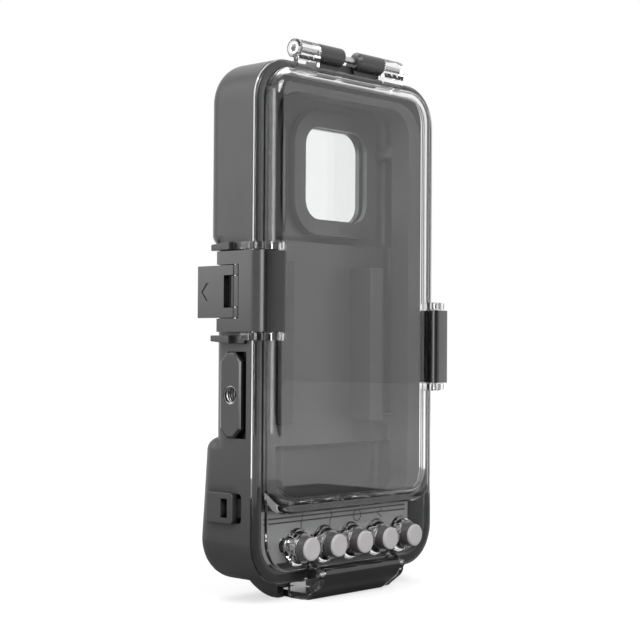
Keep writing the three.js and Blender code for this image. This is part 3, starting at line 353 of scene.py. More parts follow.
def metal(name, bright, dull, stretch):
    values = {"Bright": (*bright, 1), "Dull": (*dull, 1), "Stretch": stretch}
    return newMaterial(name, drawnMetal, values, 0.15, 0.02, {"Metallic": 1.0})


def clear(name, tone, smear, smeared, ior, shadowTone):  # lets lamp light through to what it covers
    values = {"Clear Tone": (*tone, 1), "Smear Tone": (*smear, 1), "Polish": 0.0, "Smear": smeared}
    material = newMaterial(name, polishedSurface, values, 0.03, 0.05,
                           {"Metallic": 0.0, "Transmission Weight": 1.0, "IOR": ior})
    tree = material.node_tree
    passing = addNode(tree, "ShaderNodeBsdfTransparent", {"Color": (*shadowTone, 1)})
    choose = addNode(tree, "ShaderNodeMixShader", {
        "Fac": tree.nodes.new("ShaderNodeLightPath").outputs["Is Shadow Ray"],
        1: tree.nodes["Principled BSDF"].outputs["BSDF"], 2: passing.outputs["BSDF"]})
    tree.links.new(choose.outputs["Shader"], tree.nodes["Material Output"].inputs["Surface"])
    return material


finishes = {
    "shell": moulded("shellPlastic", (0.036, 0.036, 0.037), (0.032, 0.032, 0.033), 0.28, 0.36, bump=0.08),
    "latch": moulded("latchPlastic", (0.011, 0.011, 0.0115), (0.009, 0.009, 0.0095), 0.16, 0.22, bump=0.05,
                     specular=0.75),
    "clear": clear("clearPlastic", (0.93, 0.932, 0.934), (0.9, 0.902, 0.904), 0.03, 1.49, (0.8, 0.8, 0.8)),
    "cap": moulded("capPlastic", (0.44, 0.425, 0.432), (0.41, 0.395, 0.402), 0.35, 0.5),
    "barrel": moulded("barrelPlastic", (0.08, 0.079, 0.079), (0.07, 0.069, 0.069), 0.3, 0.42, bump=0.1),
    "panel": moulded("panelPlastic", (0.25, 0.25, 0.251), (0.22, 0.22, 0.221), 0.35, 0.5, bump=0.1),
    "seal": moulded("sealRubber", (0.008, 0.008, 0.009), (0.013, 0.013, 0.014), 0.35, 0.55, 1500.0, 0.15),
    "pad": moulded("padRubber", (0.02, 0.02, 0.021), (0.027, 0.027, 0.028), 0.5, 0.7, 1800.0, 0.15),
    "ink": moulded("printInk", (0.012, 0.012, 0.012), (0.02, 0.02, 0.02), 0.4, 0.6),
    "steel": metal("steel", (0.62, 0.62, 0.63), (0.45, 0.45, 0.46), (0.05, 1.0, 1.0)),
    "brass": metal("brass", (0.65, 0.46, 0.17), (0.5, 0.34, 0.12), (1.0, 1.0, 0.05)),
    "glass": clear("glass", (0.97, 0.985, 0.98), (0.94, 0.96, 0.955), 0.02, 1.52, (0.9, 0.92, 0.92)),
    "board": moulded("boardLacquer", (0.008, 0.024, 0.014), (0.01, 0.018, 0.013), 0.2, 0.35, 900.0),
    "cell": moulded("cellWrap", (0.03, 0.045, 0.07), (0.02, 0.03, 0.05), 0.15, 0.3, 700.0, 0.05),
}
print("housing: finishes made")


# Geometry Nodes for what repeats or follows a path

def geometryTree(name, kinds):
    tree = bpy.data.node_groups.new(name, "GeometryNodeTree")
    tree.interface.new_socket(name="Geometry", in_out="OUTPUT", socket_type="NodeSocketGeometry")
    for label, kind in {**kinds, "Place": "Vector", "Material": "Material"}.items():
        tree.interface.new_socket(name=label, in_out="INPUT", socket_type="NodeSocket" + kind)
    return tree, tree.nodes.new("NodeGroupInput").outputs


def treeEnd(tree, given, geometry, turn=(0, 0, 0)):  # turned, put in its place and given its material
    shift = addNode(tree, "GeometryNodeTransform", {
        "Geometry": geometry, "Rotation": turn, "Translation": given["Place"]})
    real = addNode(tree, "GeometryNodeRealizeInstances", {0: shift.outputs["Geometry"]})
    paint = addNode(tree, "GeometryNodeSetMaterial", {
        "Geometry": real.outputs[0], "Material": given["Material"]})
    addNode(tree, "NodeGroupOutput", {0: paint.outputs[0]})
    return tree


def grown(name, tree, finish, values):  # a plain mesh from a tree and the values of its named inputs
    obj = bpy.data.objects.new(name, bpy.data.meshes.new(name))
    scene.collection.objects.link(obj)
    modifier = obj.modifiers.new("grow", "NODES")
    modifier.node_group = tree
    sockets = {item.name: item.identifier for item in tree.interface.items_tree if item.in_out == "INPUT"}
    for label, value in {**values, "Material": finishes[finish]}.items():
        modifier[sockets[label]] = value
    return baked(obj)


def skinned(tree, curve, radius, sides, caps):
    ring = addNode(tree, "GeometryNodeCurvePrimitiveCircle", {"Resolution": sides, "Radius": radius})
    return addNode(tree, "GeometryNodeCurveToMesh", {
        "Curve": curve, "Profile Curve": ring.outputs["Curve"], "Fill Caps": caps}).outputs["Mesh"]


def coilTree(name, steps, sides, turn):  # a wire coil, turned from Z
    tree, given = geometryTree(name, {
        "Turns": "Float", "Radius": "Float", "Wire": "Float", "Length": "Float"})
    path = addNode(tree, "GeometryNodeCurveSpiral", {
        "Resolution": steps, "Rotations": given["Turns"], "Start Radius": given["Radius"],
        "End Radius": given["Radius"], "Height": given["Length"]})
    return treeEnd(tree, given, skinned(tree, path.outputs["Curve"], given["Wire"], sides, True), turn)


def beadTree():  # a rubber bead along a rounded rectangle that faces Y
    tree, given = geometryTree("beadTree", {
        "Width": "Float", "Height": "Float", "Corner": "Float", "Bead": "Float"})
    outline = addNode(tree, "GeometryNodeCurvePrimitiveQuadrilateral", {
        "Width": given["Width"], "Height": given["Height"]})
    fillet = addNode(tree, "GeometryNodeFilletCurve", {
        "Curve": outline.outputs["Curve"], "Count": 16, "Radius": given["Corner"]}, mode="POLY")
    bead = skinned(tree, fillet.outputs["Curve"], given["Bead"], 14, False)
    return treeEnd(tree, given, bead, (math.pi / 2, 0, 0))


def screwSquareTree():  # four heads with hexagon sockets at a square's corners
    tree, given = geometryTree("screwSquareTree", {
        "Spacing": "Float", "Head Radius": "Float", "Head Height": "Float"})
    grid = addNode(tree, "GeometryNodeMeshGrid", {
        "Size X": given["Spacing"], "Size Y": given["Spacing"], "Vertices X": 2, "Vertices Y": 2})
    head = addNode(tree, "GeometryNodeMeshCylinder", {
        "Vertices": 40, "Radius": given["Head Radius"], "Depth": given["Head Height"]})
    half = addNode(tree, "ShaderNodeMath", {0: given["Head Radius"], 1: 0.5}, operation="MULTIPLY")
    socket = addNode(tree, "GeometryNodeMeshCylinder", {
        "Vertices": 6, "Radius": half.outputs[0], "Depth": given["Head Height"]})
    lift = addNode(tree, "ShaderNodeCombineXYZ", {"Z": given["Head Height"]})
    raised = addNode(tree, "GeometryNodeTransform", {
        "Geometry": socket.outputs["Mesh"], "Translation": lift.outputs["Vector"], "Scale": (1, 1, 1.3)})
    carved = addNode(tree, "GeometryNodeMeshBoolean", {
        "Mesh 1": head.outputs["Mesh"], "Mesh 2": raised.outputs["Geometry"]}, operation="DIFFERENCE")
    spots = addNode(tree, "GeometryNodeInstanceOnPoints", {
        "Points": grid.outputs["Mesh"], "Instance": carved.outputs["Mesh"]})
    return treeEnd(tree, given, spots.outputs["Instances"], (-math.pi / 2, 0, 0))


def ridgeRowTree():  # equal ridges in a row along one direction
    tree, given = geometryTree("ridgeRowTree", {"Count": "Int", "Step": "Vector", "Size": "Vector"})
    row = addNode(tree, "GeometryNodeMeshLine", {"Count": given["Count"], "Offset": given["Step"]})
    ridge = addNode(tree, "GeometryNodeMeshCube", {"Size": given["Size"]})
    spots = addNode(tree, "GeometryNodeInstanceOnPoints", {
        "Points": row.outputs["Mesh"], "Instance": ridge.outputs["Mesh"]})
    return treeEnd(tree, given, spots.outputs["Instances"])


# back shell

shell = {
    "wall": 5.2, "backWall": 2.8, "upperZ": 135.7, "lowerZ": 63.5, "taperZ": 24.3, "taperShare": 0.1,
    "sectionCorner": 5.0, "rearEdge": 8.0, "innerEdge": 3.0, "softEdge": 0.25,
    "grooveInset": 1.3, "grooveWidth": 2.4, "grooveDepth": 1.8,
    "dividerFront": 6.3, "dividerLow": 33.5, "dividerHigh": 35.5, "notchHalf": 6.0, "notchRear": 12.3,
    "postHalf": 2.2, "lowPostX": 41.5, "lowPostZ": 17.1, "lowPostFront": 6.0, "postX": 42.8,
    "postFront": 10.4,
    "waistPostZ": 67.7, "upperPostZ": 181.7,
}
port = {"x": 15.0, "z": 169.7, "half": 19.0, "corner": 8.0, "pane": 22.0, "paneDepth": 4.0,
        "gasket": 0.8, "lip": 1.6, "boss": 25.5, "ring": 26.0, "ringDepth": 2.2, "ringEdge": 0.9,
        "ringCorner": 15.0, "screwOffset": 19.13, "screwRadius": 1.5, "screwHeight": 0.6,
        "sinkRadius": 1.8, "seatGap": 0.3, "paneEdge": 0.25, "softEdge": 0.15}
tripod = {"z": 79.7, "y": 10.0, "halfHeight": 16.4, "halfDepth": 5.6, "corner": 3.6, "out": 1.3,
          "bevel": 0.85, "bevelDepth": 0.55, "cornerShare": 0.4, "hole": 4.2, "holeLength": 3.0,
          "mouth": 3.45, "lip": 0.3,
          "insert": 3.9, "insertGap": 0.3, "bore": 3.175, "length": 6.2, "softEdge": 0.12,
          "bossRadius": 6.4, "bossIn": 46.5, "boreIn": 48.1, "room": 7.0, "roomIn": 45.9,
          "recessWidth": 1.9, "recessDepth": 2.2, "insertEdge": 0.1, "crest": 0.22, "crestSink": 0.02,
          "threadTurns": 4.0, "threadLength": 5.0, "threadStart": 0.5}
lanyard = {"z": 37.0, "half": 5.8, "front": 7.5, "rear": 22.8, "out": 2.0, "slope": 1.4, "barRear": 10.3,
           "barInner": 53.0, "slotRear": 13.8, "slotHalf": 3.6, "recessFront": 4.7, "recessHalf": 5.6,
           "sink": 3.0, "corner": 1.5, "edge": 0.35}
hinge = {"z": housing["hingeZ"], "radius": 3.75, "pin": 1.25, "pinGap": 0.1, "end": 31.6, "joint": 19.5,
         "middle": 4.0, "chamfer": 1.2, "endChamfer": 0.5, "leastChamfer": 0.25,
         "sideGap": 0.2, "lugDepth": 8.0,
         "webFront": 1.15, "webTop": 211.3, "head": 2.5, "headSeat": 2.8, "headLow": -31.3,
         "headDepth": 1.6, "starDepth": 1.3, "starRadius": 1.75, "starShare": 0.72, "pinEnd": 30.3,
         "seatEnd": 30.6, "headEdge": 0.3, "pinEdge": 0.2}
darkEar = {"root": 52.4, "step": 1.4, "front": 2.6, "shoulder": 8.3, "rear": 20.0, "chamfer": 1.95,
           "thickness": 3.1, "thinning": 1.0, "highGap": 0.5, "lowGap": 1.3, "edge": 0.3}
bottomEar = {"front": 7.3, "frontZ": 8.6, "step": 10.9, "stepZ": 4.4, "flat": 14.0, "rear": 28.0,
             "rearZ": 11.5, "rise": 6.2, "straightShare": 0.18, "gap": 1.3, "thickness": 3.6, "edge": 0.3}
ridge = {"margin": 1.2, "top": 54.05, "front": 8.0, "rear": 11.4, "chamfer": 0.85}
latchSides = {
    "left": {"low": 103.5, "length": 30.4, "edge": 53.2},
    "right": {"low": 83.5, "length": 30.4, "edge": 53.2},
    "bottom": {"low": -22.0, "length": 44.0, "edge": 49.3},
}
latchTurns = {
    "left": lambda x, y, z: (-x, y, z),
    "right": lambda x, y, z: (x, y, z),
    "bottom": lambda x, y, z: (z, y, housing["latchPlane"] - x),
}
leverRoom = 20.4
sweeps = {  # the outside of a latch's front corner, as (in from the latch plane, y), flat side first
    "side": [(0.0, -2.5), (0.35, -4.4), (0.72, -5.75), (1.1, -6.9), (1.6, -7.9), (2.2, -8.7), (2.9, -9.25)],
    "bottom": [(0.0, -1.0), (0.9, -2.3), (1.9, -3.4), (3.0, -4.9), (4.2, -6.5), (5.1, -7.7), (6.0, -8.7),
               (7.0, -9.4), (8.0, -9.9)],
}
sweeps["left"] = sweeps["right"] = sweeps["side"]


def lowerTaper(z):
    share = (z - shell["taperZ"]) / (shell["lowerZ"] - shell["taperZ"])
    return 1 - shell["taperShare"] * min(max(share, 0), 1)


def shellForm(name, inset, backInset, edge, plainY):
    half = housing["half"] - inset
    low, high = housing["bottom"] + inset, housing["top"] - inset
    corner = housing["corner"] - inset
    section = max(shell["sectionCorner"] - inset, 1)
    whole = roundedBlock(name, half, low, high, corner, corner, plainY,
                         housing["waistDepth"] - backInset, edge)
    upper = roundedBlock("upper", half, shell["upperZ"] + inset, high, section, corner, plainY,
                         housing["upperDepth"] - backInset, edge)
    lower = roundedBlock("lower", half, low, shell["lowerZ"] - inset, corner, section, plainY,
                         housing["lowerDepth"] - backInset, edge, depthShare=lowerTaper)
    return combined(whole, [upper, lower])


def portOutline(half):
    corner = port["corner"] + half - port["half"]
    return roundedRectangle(port["x"], half, port["z"] - half, port["z"] + half, corner)


def tripodOutline(inset=0.0):
    low, high = tripod["z"] - tripod["halfHeight"] + inset, tripod["z"] + tripod["halfHeight"] - inset
    front, rear = tripod["y"] - tripod["halfDepth"] + inset, tripod["y"] + tripod["halfDepth"] - inset
    cut = tripod["corner"] - inset * tripod["cornerShare"]
    return [(front + cut, low), (rear - cut, low), (rear, low + cut), (rear, high - cut),
            (rear - cut, high), (front + cut, high), (front, high - cut), (front, low + cut)]


def tripodRecess():  # beside the plate's front edge and under its cut corners
    low, high = tripod["z"] - tripod["halfHeight"], tripod["z"] + tripod["halfHeight"]
    rear, cut = tripod["y"] - tripod["halfDepth"], tripod["corner"]
    front = rear - tripod["recessWidth"]
    return [(front, low), (rear + cut, low), (rear, low + cut), (rear, high - cut), (rear + cut, high),
            (front, high)]


def knuckle(name, low, high, chamferLow, chamferHigh):
    radius, least = hinge["radius"], hinge["leastChamfer"]
    chamferLow, chamferHigh = max(chamferLow, least), max(chamferHigh, least)
    rings = []
    for x, size in ((low, radius - chamferLow), (low + chamferLow, radius),
                    (high - chamferHigh, radius), (high, radius - chamferHigh)):
        rings.append([(x, y, z) for y, z in circlePoints(0, hinge["z"], size, 48)])
    return loft(name, rings)


def darkEars(latch):
    front, shoulder, rear = darkEar["front"], darkEar["shoulder"], darkEar["rear"]
    root, reach, step = darkEar["root"], housing["latchPlane"], housing["half"] + darkEar["step"]
    slope = rear - darkEar["chamfer"]
    plan = [(root, front), (step, front), (step, shoulder), (reach, shoulder), (reach, slope),
            (reach - darkEar["chamfer"], rear), (root, slope)]
    pieces = []
    for near, away in ((latch["low"] + latch["length"] + darkEar["highGap"], 1),
                       (latch["low"] - darkEar["lowGap"], -1)):
        far = near + away * darkEar["thickness"]
        side = [(front, near), (rear, near), (rear, far - away * darkEar["thinning"]), (shoulder, far),
                (front, far)]
        fin = prism("ear", plan, "z", min(near, far), max(near, far))
        fin = combined(fin, [prism("side", side, "x", root - over, reach + over)], "INTERSECT")
        pieces.append(edgesRounded(fin, darkEar["edge"], 2))
    return pieces


def bottomEars():
    flat, straight = bottomEar["flat"], bottomEar["straightShare"]
    bend = bottomEar["rear"] - flat
    outline = [(bottomEar["front"], bottomEar["frontZ"]), (bottomEar["front"], bottomEar["stepZ"]),
               (bottomEar["step"], bottomEar["stepZ"]), (bottomEar["step"], 0), (flat, 0)]
    for t in [i / 8 for i in range(1, 9)]:
        outline.append((flat + bend * t, bottomEar["rise"] * (straight * t + (1 - straight) * t * t)))
    outline.append((bottomEar["rear"], bottomEar["rearZ"]))
    near = latchSides["bottom"]["length"] / 2 + bottomEar["gap"]
    far = near + bottomEar["thickness"]
    return [prism("bottomEar", outline, "x", low, high, bottomEar["edge"], 2)
            for low, high in ((near, far), (-far, -near))]


def catchRidge(side):
    latch = latchSides[side]
    margin = (latch["length"] - leverRoom) / 2 + ridge["margin"]
    root, top, front, rear = latch["edge"] - housing["root"], ridge["top"], ridge["front"], ridge["rear"]
    outline = [(root, front), (top - ridge["chamfer"], front), (top, front + ridge["chamfer"]), (top, rear),
               (root, rear)]
    body = prism("ridge", outline, "z", latch["low"] + margin, latch["low"] + latch["length"] - margin)
    return moved(body, latchTurns[side])


def post(x, z, front, rear):
    half = shell["postHalf"]
    return box("post", (x - half, x + half), (front, rear), (z - half, z + half))


def shellInside():
    toRoot = housing["root"] - shell["backWall"]
    floor = housing["lowerDepth"] + toRoot
    reach, notch = housing["half"] - shell["wall"] + housing["root"], shell["notchHalf"]
    front, low, high = shell["dividerFront"], shell["dividerLow"], shell["dividerHigh"]
    divider = box("divider", (-reach, reach), (front, floor), (low, high))
    pieces = [cutFrom(divider, [box("notch", (-notch, notch), (front - over, shell["notchRear"]),
                                    (low - over, high + over))])]
    for side in (-1, 1):
        pieces.append(post(side * shell["lowPostX"], shell["lowPostZ"], shell["lowPostFront"], floor))
        for z, depth in ((shell["waistPostZ"], housing["waistDepth"]),
                         (shell["upperPostZ"], housing["upperDepth"])):
            pieces.append(post(side * shell["postX"], z, shell["postFront"], depth + toRoot))
    return pieces


def grooveRing(name, inset, width, frontY, rearY):
    def outline(size):
        return roundedRectangle(0, housing["half"] - size, housing["bottom"] + size,
                                housing["top"] - size, housing["corner"] - size, None, 20)
    ring = prism(name, outline(inset), "y", frontY, rearY)
    return cutFrom(ring, [prism("grooveInner", outline(inset + width), "y", frontY - over, rearY + over)])


def lanyardOutline(front, rear, half):
    low, high, corner = lanyard["z"] - half, lanyard["z"] + half, lanyard["corner"]
    return [(rear, low), (rear, high), *arcPoints(front + corner, high - corner, corner, 90, 180, 6),
            *arcPoints(front + corner, low + corner, corner, 180, 270, 6)]


def lanyardPad():
    half, out, root = housing["half"], housing["half"] + lanyard["out"], housing["half"] - housing["root"]
    front, rear = lanyard["front"], lanyard["rear"]
    plan = [(-root, front), (-out, front), (-out, rear - lanyard["slope"]), (-half, rear), (-root, rear)]
    pad = prism("lanyardPad", plan, "z", lanyard["z"] - lanyard["half"], lanyard["z"] + lanyard["half"])
    side = prism("lanyardSide", lanyardOutline(front, rear, lanyard["half"]), "x", -out - over, over - root)
    return softened(combined(pad, [side], "INTERSECT"), lanyard["edge"], 3, 50)


def hingeLugs():
    outer, inner, web = hinge["joint"] - hinge["sideGap"], hinge["middle"], hinge["middle"] + housing["root"]
    depth, root, chamfer = hinge["lugDepth"], housing["top"] - housing["root"], hinge["chamfer"]
    side = [(0, root), (0, hinge["z"]), (hinge["radius"], hinge["z"]), (depth, housing["top"]), (depth, root)]
    pieces = []
    for low, high, cutLow, cutHigh in ((-outer, -inner, 0, chamfer), (inner, outer, chamfer, 0)):
        pieces.append(knuckle("knuckle", low, high, cutLow, cutHigh))
        pieces.append(prism("lug", side, "x", low, high))
    pieces.append(box("web", (-web, web), (hinge["webFront"], hinge["radius"]), (root, hinge["webTop"])))
    return pieces


def makeShell():
    half, upper = housing["half"], housing["upperDepth"]
    body = shellForm("shell", 0.0, 0.0, shell["rearEdge"], 0.0)
    body = cutFrom(body, [shellForm("hollow", shell["wall"], shell["backWall"], shell["innerEdge"], -over)])
    gasketFront = upper - port["paneDepth"] - port["gasket"]
    bossFront = gasketFront - port["lip"]
    inside = half - shell["wall"] + housing["root"]
    adds = shellInside()
    adds.append(prism("portBoss", portOutline(port["boss"]), "y", bossFront,
                      upper - shell["backWall"] + housing["root"]))
    adds.append(lanyardPad())
    adds.append(rod("tripodBoss", "x", tripod["bossRadius"], -inside, -tripod["bossIn"], tripod["y"],
                    tripod["z"]))
    adds += hingeLugs()
    for side in ("left", "right"):
        adds += [moved(ear, latchTurns[side]) for ear in darkEars(latchSides[side])]
    adds += bottomEars() + [catchRidge(side) for side in latchSides]
    body = combined(body, adds)
    sunk, outside = lanyard["sink"] - half, -half - lanyard["out"] - over
    slot = lanyard["z"] - lanyard["slotHalf"], lanyard["z"] + lanyard["slotHalf"]
    cuts = [
        grooveRing("groove", shell["grooveInset"], shell["grooveWidth"], -over, shell["grooveDepth"]),
        prism("paneSeat", portOutline(port["pane"] + port["seatGap"]), "y", gasketFront, upper + over),
        prism("portHole", portOutline(port["half"]), "y", bossFront - over, upper),
        rod("insertBore", "x", tripod["insert"] + tripod["insertGap"], -half - over, -tripod["boreIn"],
            tripod["y"], tripod["z"]),
        prism("tripodRecess", tripodRecess(), "x", -half - over, tripod["recessDepth"] - half),
        box("slot", (outside, sunk), (lanyard["barRear"], lanyard["slotRear"]), slot),
        prism("recess", lanyardOutline(lanyard["recessFront"], lanyard["front"], lanyard["recessHalf"]),
              "x", outside, sunk),
        box("passage", (-lanyard["barInner"], sunk),
            (lanyard["front"] - housing["root"], lanyard["barRear"] + housing["root"]), slot),
        rod("pinBore", "x", hinge["pin"] + hinge["pinGap"], -hinge["joint"], hinge["joint"], 0, hinge["z"]),
    ]
    placed(softened(cutFrom(body, cuts), shell["softEdge"]), "shell", "back_shell", ["back_shell"])


makeShell()
print("housing: back shell made")

# main seal in its groove

mainSeal = {"inset": 2.5, "bead": 0.9, "y": 0.85}


def makeMainSeal():
    inset, low, high = mainSeal["inset"], housing["bottom"], housing["top"]
    seal = grown("mainSeal", beadTree(), "seal", {
        "Width": (housing["half"] - inset) * 2 * mm, "Height": (high - low - 2 * inset) * mm,
        "Corner": (housing["corner"] - inset) * mm, "Bead": mainSeal["bead"] * mm,
        "Place": (0, mainSeal["y"] * mm, (high + low) / 2 * mm)})
    placed(seal, "seal", "back_shell", ["main_seal"])


makeMainSeal()

# clear front cover

cover = {
    "flangeEdge": 1.4, "ledge": 5.6, "sink": 0.9, "wall": 2.0, "softEdge": 0.22, "webLow": 2.8,
    "windowFront": -7.2, "shoulder": 5.4, "windowLow": 30.1, "windowTopLedge": 2.4, "windowCorner": 13.0,
    "footLift": 4.2, "footFade": 13.0, "hollowLow": 37.5, "hollowRise": 4.1,
    "deckFront": -3.2, "deckEdge": 1.2, "deckRise": 1.1, "deckLedge": 4.6, "deckTop": 56.1,
}
boss = {  # the profile is (radius, y) points
    "profile": [(0, -2.4), (7.6, -2.4), (7.4, -3.2), (6.9, -3.9), (5.9, -6.6), (5.6, -7.05), (5.3, -7.2),
                (0, -7.2)],
    "rim": -7.2, "bore": 4.85, "stemBore": 1.5, "guideOuter": 3.4, "guideInner": 2.5, "guideFront": -1.1,
    "guideRear": 2.6, "seatY": -1.6,
}
clearEar = {"gap": 0.35, "thickness": 2.9, "bore": 2.7, "nose": 2.0, "noseFrom": -38, "noseTo": -200,
            "rootIn": 6.4, "edgeGap": 0.3, "rear": 2.3, "bottomRear": 7.0, "corner": 1.4,
            "inset": 0.5, "sideShoulder": (0.8, -6.0),
            "roots": {"left": (42.2, -6.4), "right": (42.2, -6.4), "bottom": (40.7, -2.4)}, "edge": 0.3}
# a dark sheet on the back of the flange, painted shade for the black seal and the shaded rim seen through it
flangeShade = {"inset": 1.1, "width": 2.5, "depth": 0.05, "proud": 0.02}


def coverEars(side):
    latch, sweep = latchSides[side], sweeps[side]
    edge, plane, rear = latch["edge"] + clearEar["edgeGap"], housing["latchPlane"], clearEar["rear"]
    if side == "bottom":
        inset, corner, rear = clearEar["inset"], clearEar["corner"], clearEar["bottomRear"]
        outer = [(plane - max(into, inset), y) for into, y in reversed(sweep)]
        outer += [(plane - inset, rear - corner),
                  *arcPoints(plane - inset - corner, rear - corner, corner, 0, 90, 6)]
    else:
        outer = [(plane - clearEar["sideShoulder"][0], clearEar["sideShoulder"][1]), (plane, sweep[0][1]),
                 (plane, rear)]
    nose = arcPoints(housing["pivotX"], housing["pivotY"], clearEar["nose"], clearEar["noseFrom"],
                     clearEar["noseTo"], 12)
    plan = [(latch["edge"] - clearEar["rootIn"], housing["coverRear"]), clearEar["roots"][side],
            *reversed(nose), *outer, (edge, rear), (edge, housing["coverRear"])]
    low, high = latch["low"] - clearEar["gap"], latch["low"] + latch["length"] + clearEar["gap"]
    ends = ((low - clearEar["thickness"], low), (high, high + clearEar["thickness"]))
    ears = [prism("clearEar", plan, "z", *end, clearEar["edge"], 2) for end in ends]
    return [moved(ear, latchTurns[side]) for ear in ears]


def windowForms(grow):  # the raised window and the deck below it, each larger all round by grow
    rear, corner = housing["coverRear"] - cover["sink"], cover["windowCorner"] + grow
    inner, front = housing["half"] - cover["ledge"] + grow, cover["windowFront"]
    window = roundedBlock("window", inner, cover["windowLow"] - grow,
                          housing["top"] - cover["windowTopLedge"] + grow, corner, corner, rear,
                          front - grow, cover["shoulder"], housing["flangeFront"] - front,
                          steps=20, edgeSteps=12)

    def steepFoot(x, y, z):  # the window's lower wall stands steeper than its sides
        near = max(1 - (z + grow - cover["windowLow"]) / cover["footFade"], 0)
        return x, y, z + cover["footLift"] * near * near
    deck = roundedBlock("deck", inner, housing["bottom"] + cover["deckLedge"] - grow, cover["deckTop"],
                        corner, corner, rear, cover["deckFront"] - grow, cover["deckEdge"],
                        cover["deckRise"], steps=20)
    return moved(window, steepFoot), [deck]


def coverCuts():
    wall, top = cover["wall"], housing["top"] - cover["windowTopLedge"]
    half, corner = housing["half"] - cover["ledge"] - wall, cover["windowCorner"] - wall
    cuts = [roundedBlock("coverHollow", half, cover["hollowLow"], top - wall, corner, corner,
                         housing["coverRear"] + over, cover["windowFront"] + wall,
                         cover["shoulder"] - wall, cover["hollowRise"], steps=20, edgeSteps=12)]
    for x in buttonXs:
        for radius, front, rear in ((boss["bore"], boss["rim"] - over, cover["deckFront"]),
                                    (boss["stemBore"], cover["deckFront"] - over, boss["guideRear"]),
                                    (boss["guideInner"], boss["seatY"], boss["guideRear"] + over)):
            cuts.append(rod("bore", "y", radius, front, rear, x, housing["buttonZ"], 56))
    past = clearEar["gap"] + clearEar["bore"]
    for side, latch in latchSides.items():
        bore = rod("pivotBore", "z", housing["pivotBore"], latch["low"] - past,
                   latch["low"] + latch["length"] + past, housing["pivotX"], housing["pivotY"], 32)
        cuts.append(moved(bore, latchTurns[side]))
    cuts.append(rod("headSeat", "x", hinge["headSeat"], -hinge["end"] - over,
                    hinge["headLow"] + hinge["headDepth"], 0, hinge["z"]))
    cuts.append(rod("pinSeat", "x", hinge["pin"] + hinge["pinGap"], -hinge["end"], hinge["seatEnd"], 0,
                    hinge["z"]))
    return cuts


def makeCover():
    corner, rear, front = housing["corner"], housing["coverRear"], housing["flangeFront"]
    top, radius, chamfer = housing["top"], hinge["radius"], hinge["endChamfer"]
    body = roundedBlock("cover", housing["half"], housing["bottom"], top, corner, corner, rear, front,
                        cover["flangeEdge"], steps=20)
    window, deck = windowForms(0.0)
    adds = [window, *deck]
    web = [(rear, top - housing["root"]), (front, top - cover["webLow"]), (-radius, hinge["z"]),
           (rear, hinge["z"])]
    for side in (-1, 1):
        ends = sorted((side * hinge["joint"], side * hinge["end"]))
        adds.append(knuckle("clearKnuckle", *ends, chamfer if side < 0 else 0, chamfer if side > 0 else 0))
        adds.append(prism("clearWeb", web, "x", *ends))
    for side in latchSides:
        adds += coverEars(side)
    for x in buttonXs:
        adds.append(turned("boss", boss["profile"], x, housing["buttonZ"]))
        adds.append(rod("guide", "y", boss["guideOuter"], boss["guideFront"], boss["guideRear"], x,
                        housing["buttonZ"]))
    body = softened(cutFrom(combined(body, adds), coverCuts()), cover["softEdge"], 2, 42)
    placed(body, "clear", "front_cover", ["front_cover"], 30)
    shadeSheet = grooveRing("flangeShadeSheet", flangeShade["inset"], flangeShade["width"], rear - flangeShade["depth"],
                      rear + flangeShade["proud"])
    placed(shadeSheet, "seal", "front_cover")  # dark sheet on the back of the flange: painted shade, standing in for the black seal and the shaded rim seen through the clear plastic


makeCover()
print("housing: clear cover made")

# hinge pin with a star socket in its head

def makeHingePin():
    points = []
    for i in range(12):
        radius = hinge["starRadius"] * (1.0 if i % 2 == 0 else hinge["starShare"])
        points.append((radius * math.cos(math.pi * i / 6), hinge["z"] + radius * math.sin(math.pi * i / 6)))
    low = hinge["headLow"]
    pin = rod("hingePin", "x", hinge["head"], low, low + hinge["headDepth"], 0, hinge["z"], 48,
              hinge["headEdge"])
    shank = rod("shank", "x", hinge["pin"], low + over, hinge["pinEnd"], 0, hinge["z"], 32,
                hinge["pinEdge"])
    pin = cutFrom(combined(pin, [shank]), [prism("star", points, "x", low - over, low + hinge["starDepth"])])
    placed(pin, "steel", "front_cover", ["hinge_pin"])


makeHingePin()

# latches: clamp, lever and their pins; the profiles are (in from the outside, y) points

clamp = {"thickness": 2.8, "rear": 14.8, "innerFront": -2.7, "neck": 51.5, "barrel": 2.2,
         "barrelFrom": 20, "barrelTo": 285, "pin": 0.9, "pinPast": 2.85, "pinEdge": 0.15,
         "cutY": 9.9, "cutHalf": 6.9, "cutCorner": 0.5, "cutDepth": 4.5, "edge": 0.4,
         "tongueIn": 0.15, "tongueLength": 11.7,
         "tongue": [(0.35, 2.2), (0.35, 3.3), (0.05, 3.5), (0.0, 5.5), (0.25, 5.65), (0.25, 6.0),
                    (0.05, 6.15), (0.2, 7.2), (0.7, 7.9), (1.2, 8.2)]}
lever = {"thickness": 2.4, "inner": 54.6, "gap": 0.3, "slotRear": 11.1, "softEdge": 0.14,
         "pinIn": 1.4, "pinY": 5.8, "pin": 0.7, "pinPast": 4.2, "pinEdge": 0.1, "bore": 0.8, "borePast": 4.4,
         "profile": [(0.5, 3.4), (0.12, 3.8), (0.0, 5.5), (0.3, 5.65), (0.3, 6.0), (0.0, 6.15), (0.0, 25.2),
                     (0.5, 26.0)],
         "arrowY": 19.0, "arrowStroke": 1.6, "arrowPoint": 2.8, "arrowHalf": 3.4, "arrowDepth": 0.35}


def clampOutline(side):
    plane, rear, front = housing["latchPlane"], clamp["rear"], clamp["innerFront"]
    inner = plane - clamp["thickness"]
    corner = [(plane - inset, y) for inset, y in reversed(sweeps[side])]
    barrel = arcPoints(housing["pivotX"], housing["pivotY"], clamp["barrel"], clamp["barrelFrom"],
                       clamp["barrelTo"], 20)
    return [(inner, rear), (inner, front), (clamp["neck"], front), *barrel, *corner, (plane, rear)]


def sidePlan(inner, outer, profile):
    return [(inner, profile[0][1]), *[(outer - inset, y) for inset, y in profile], (inner, profile[-1][1])]


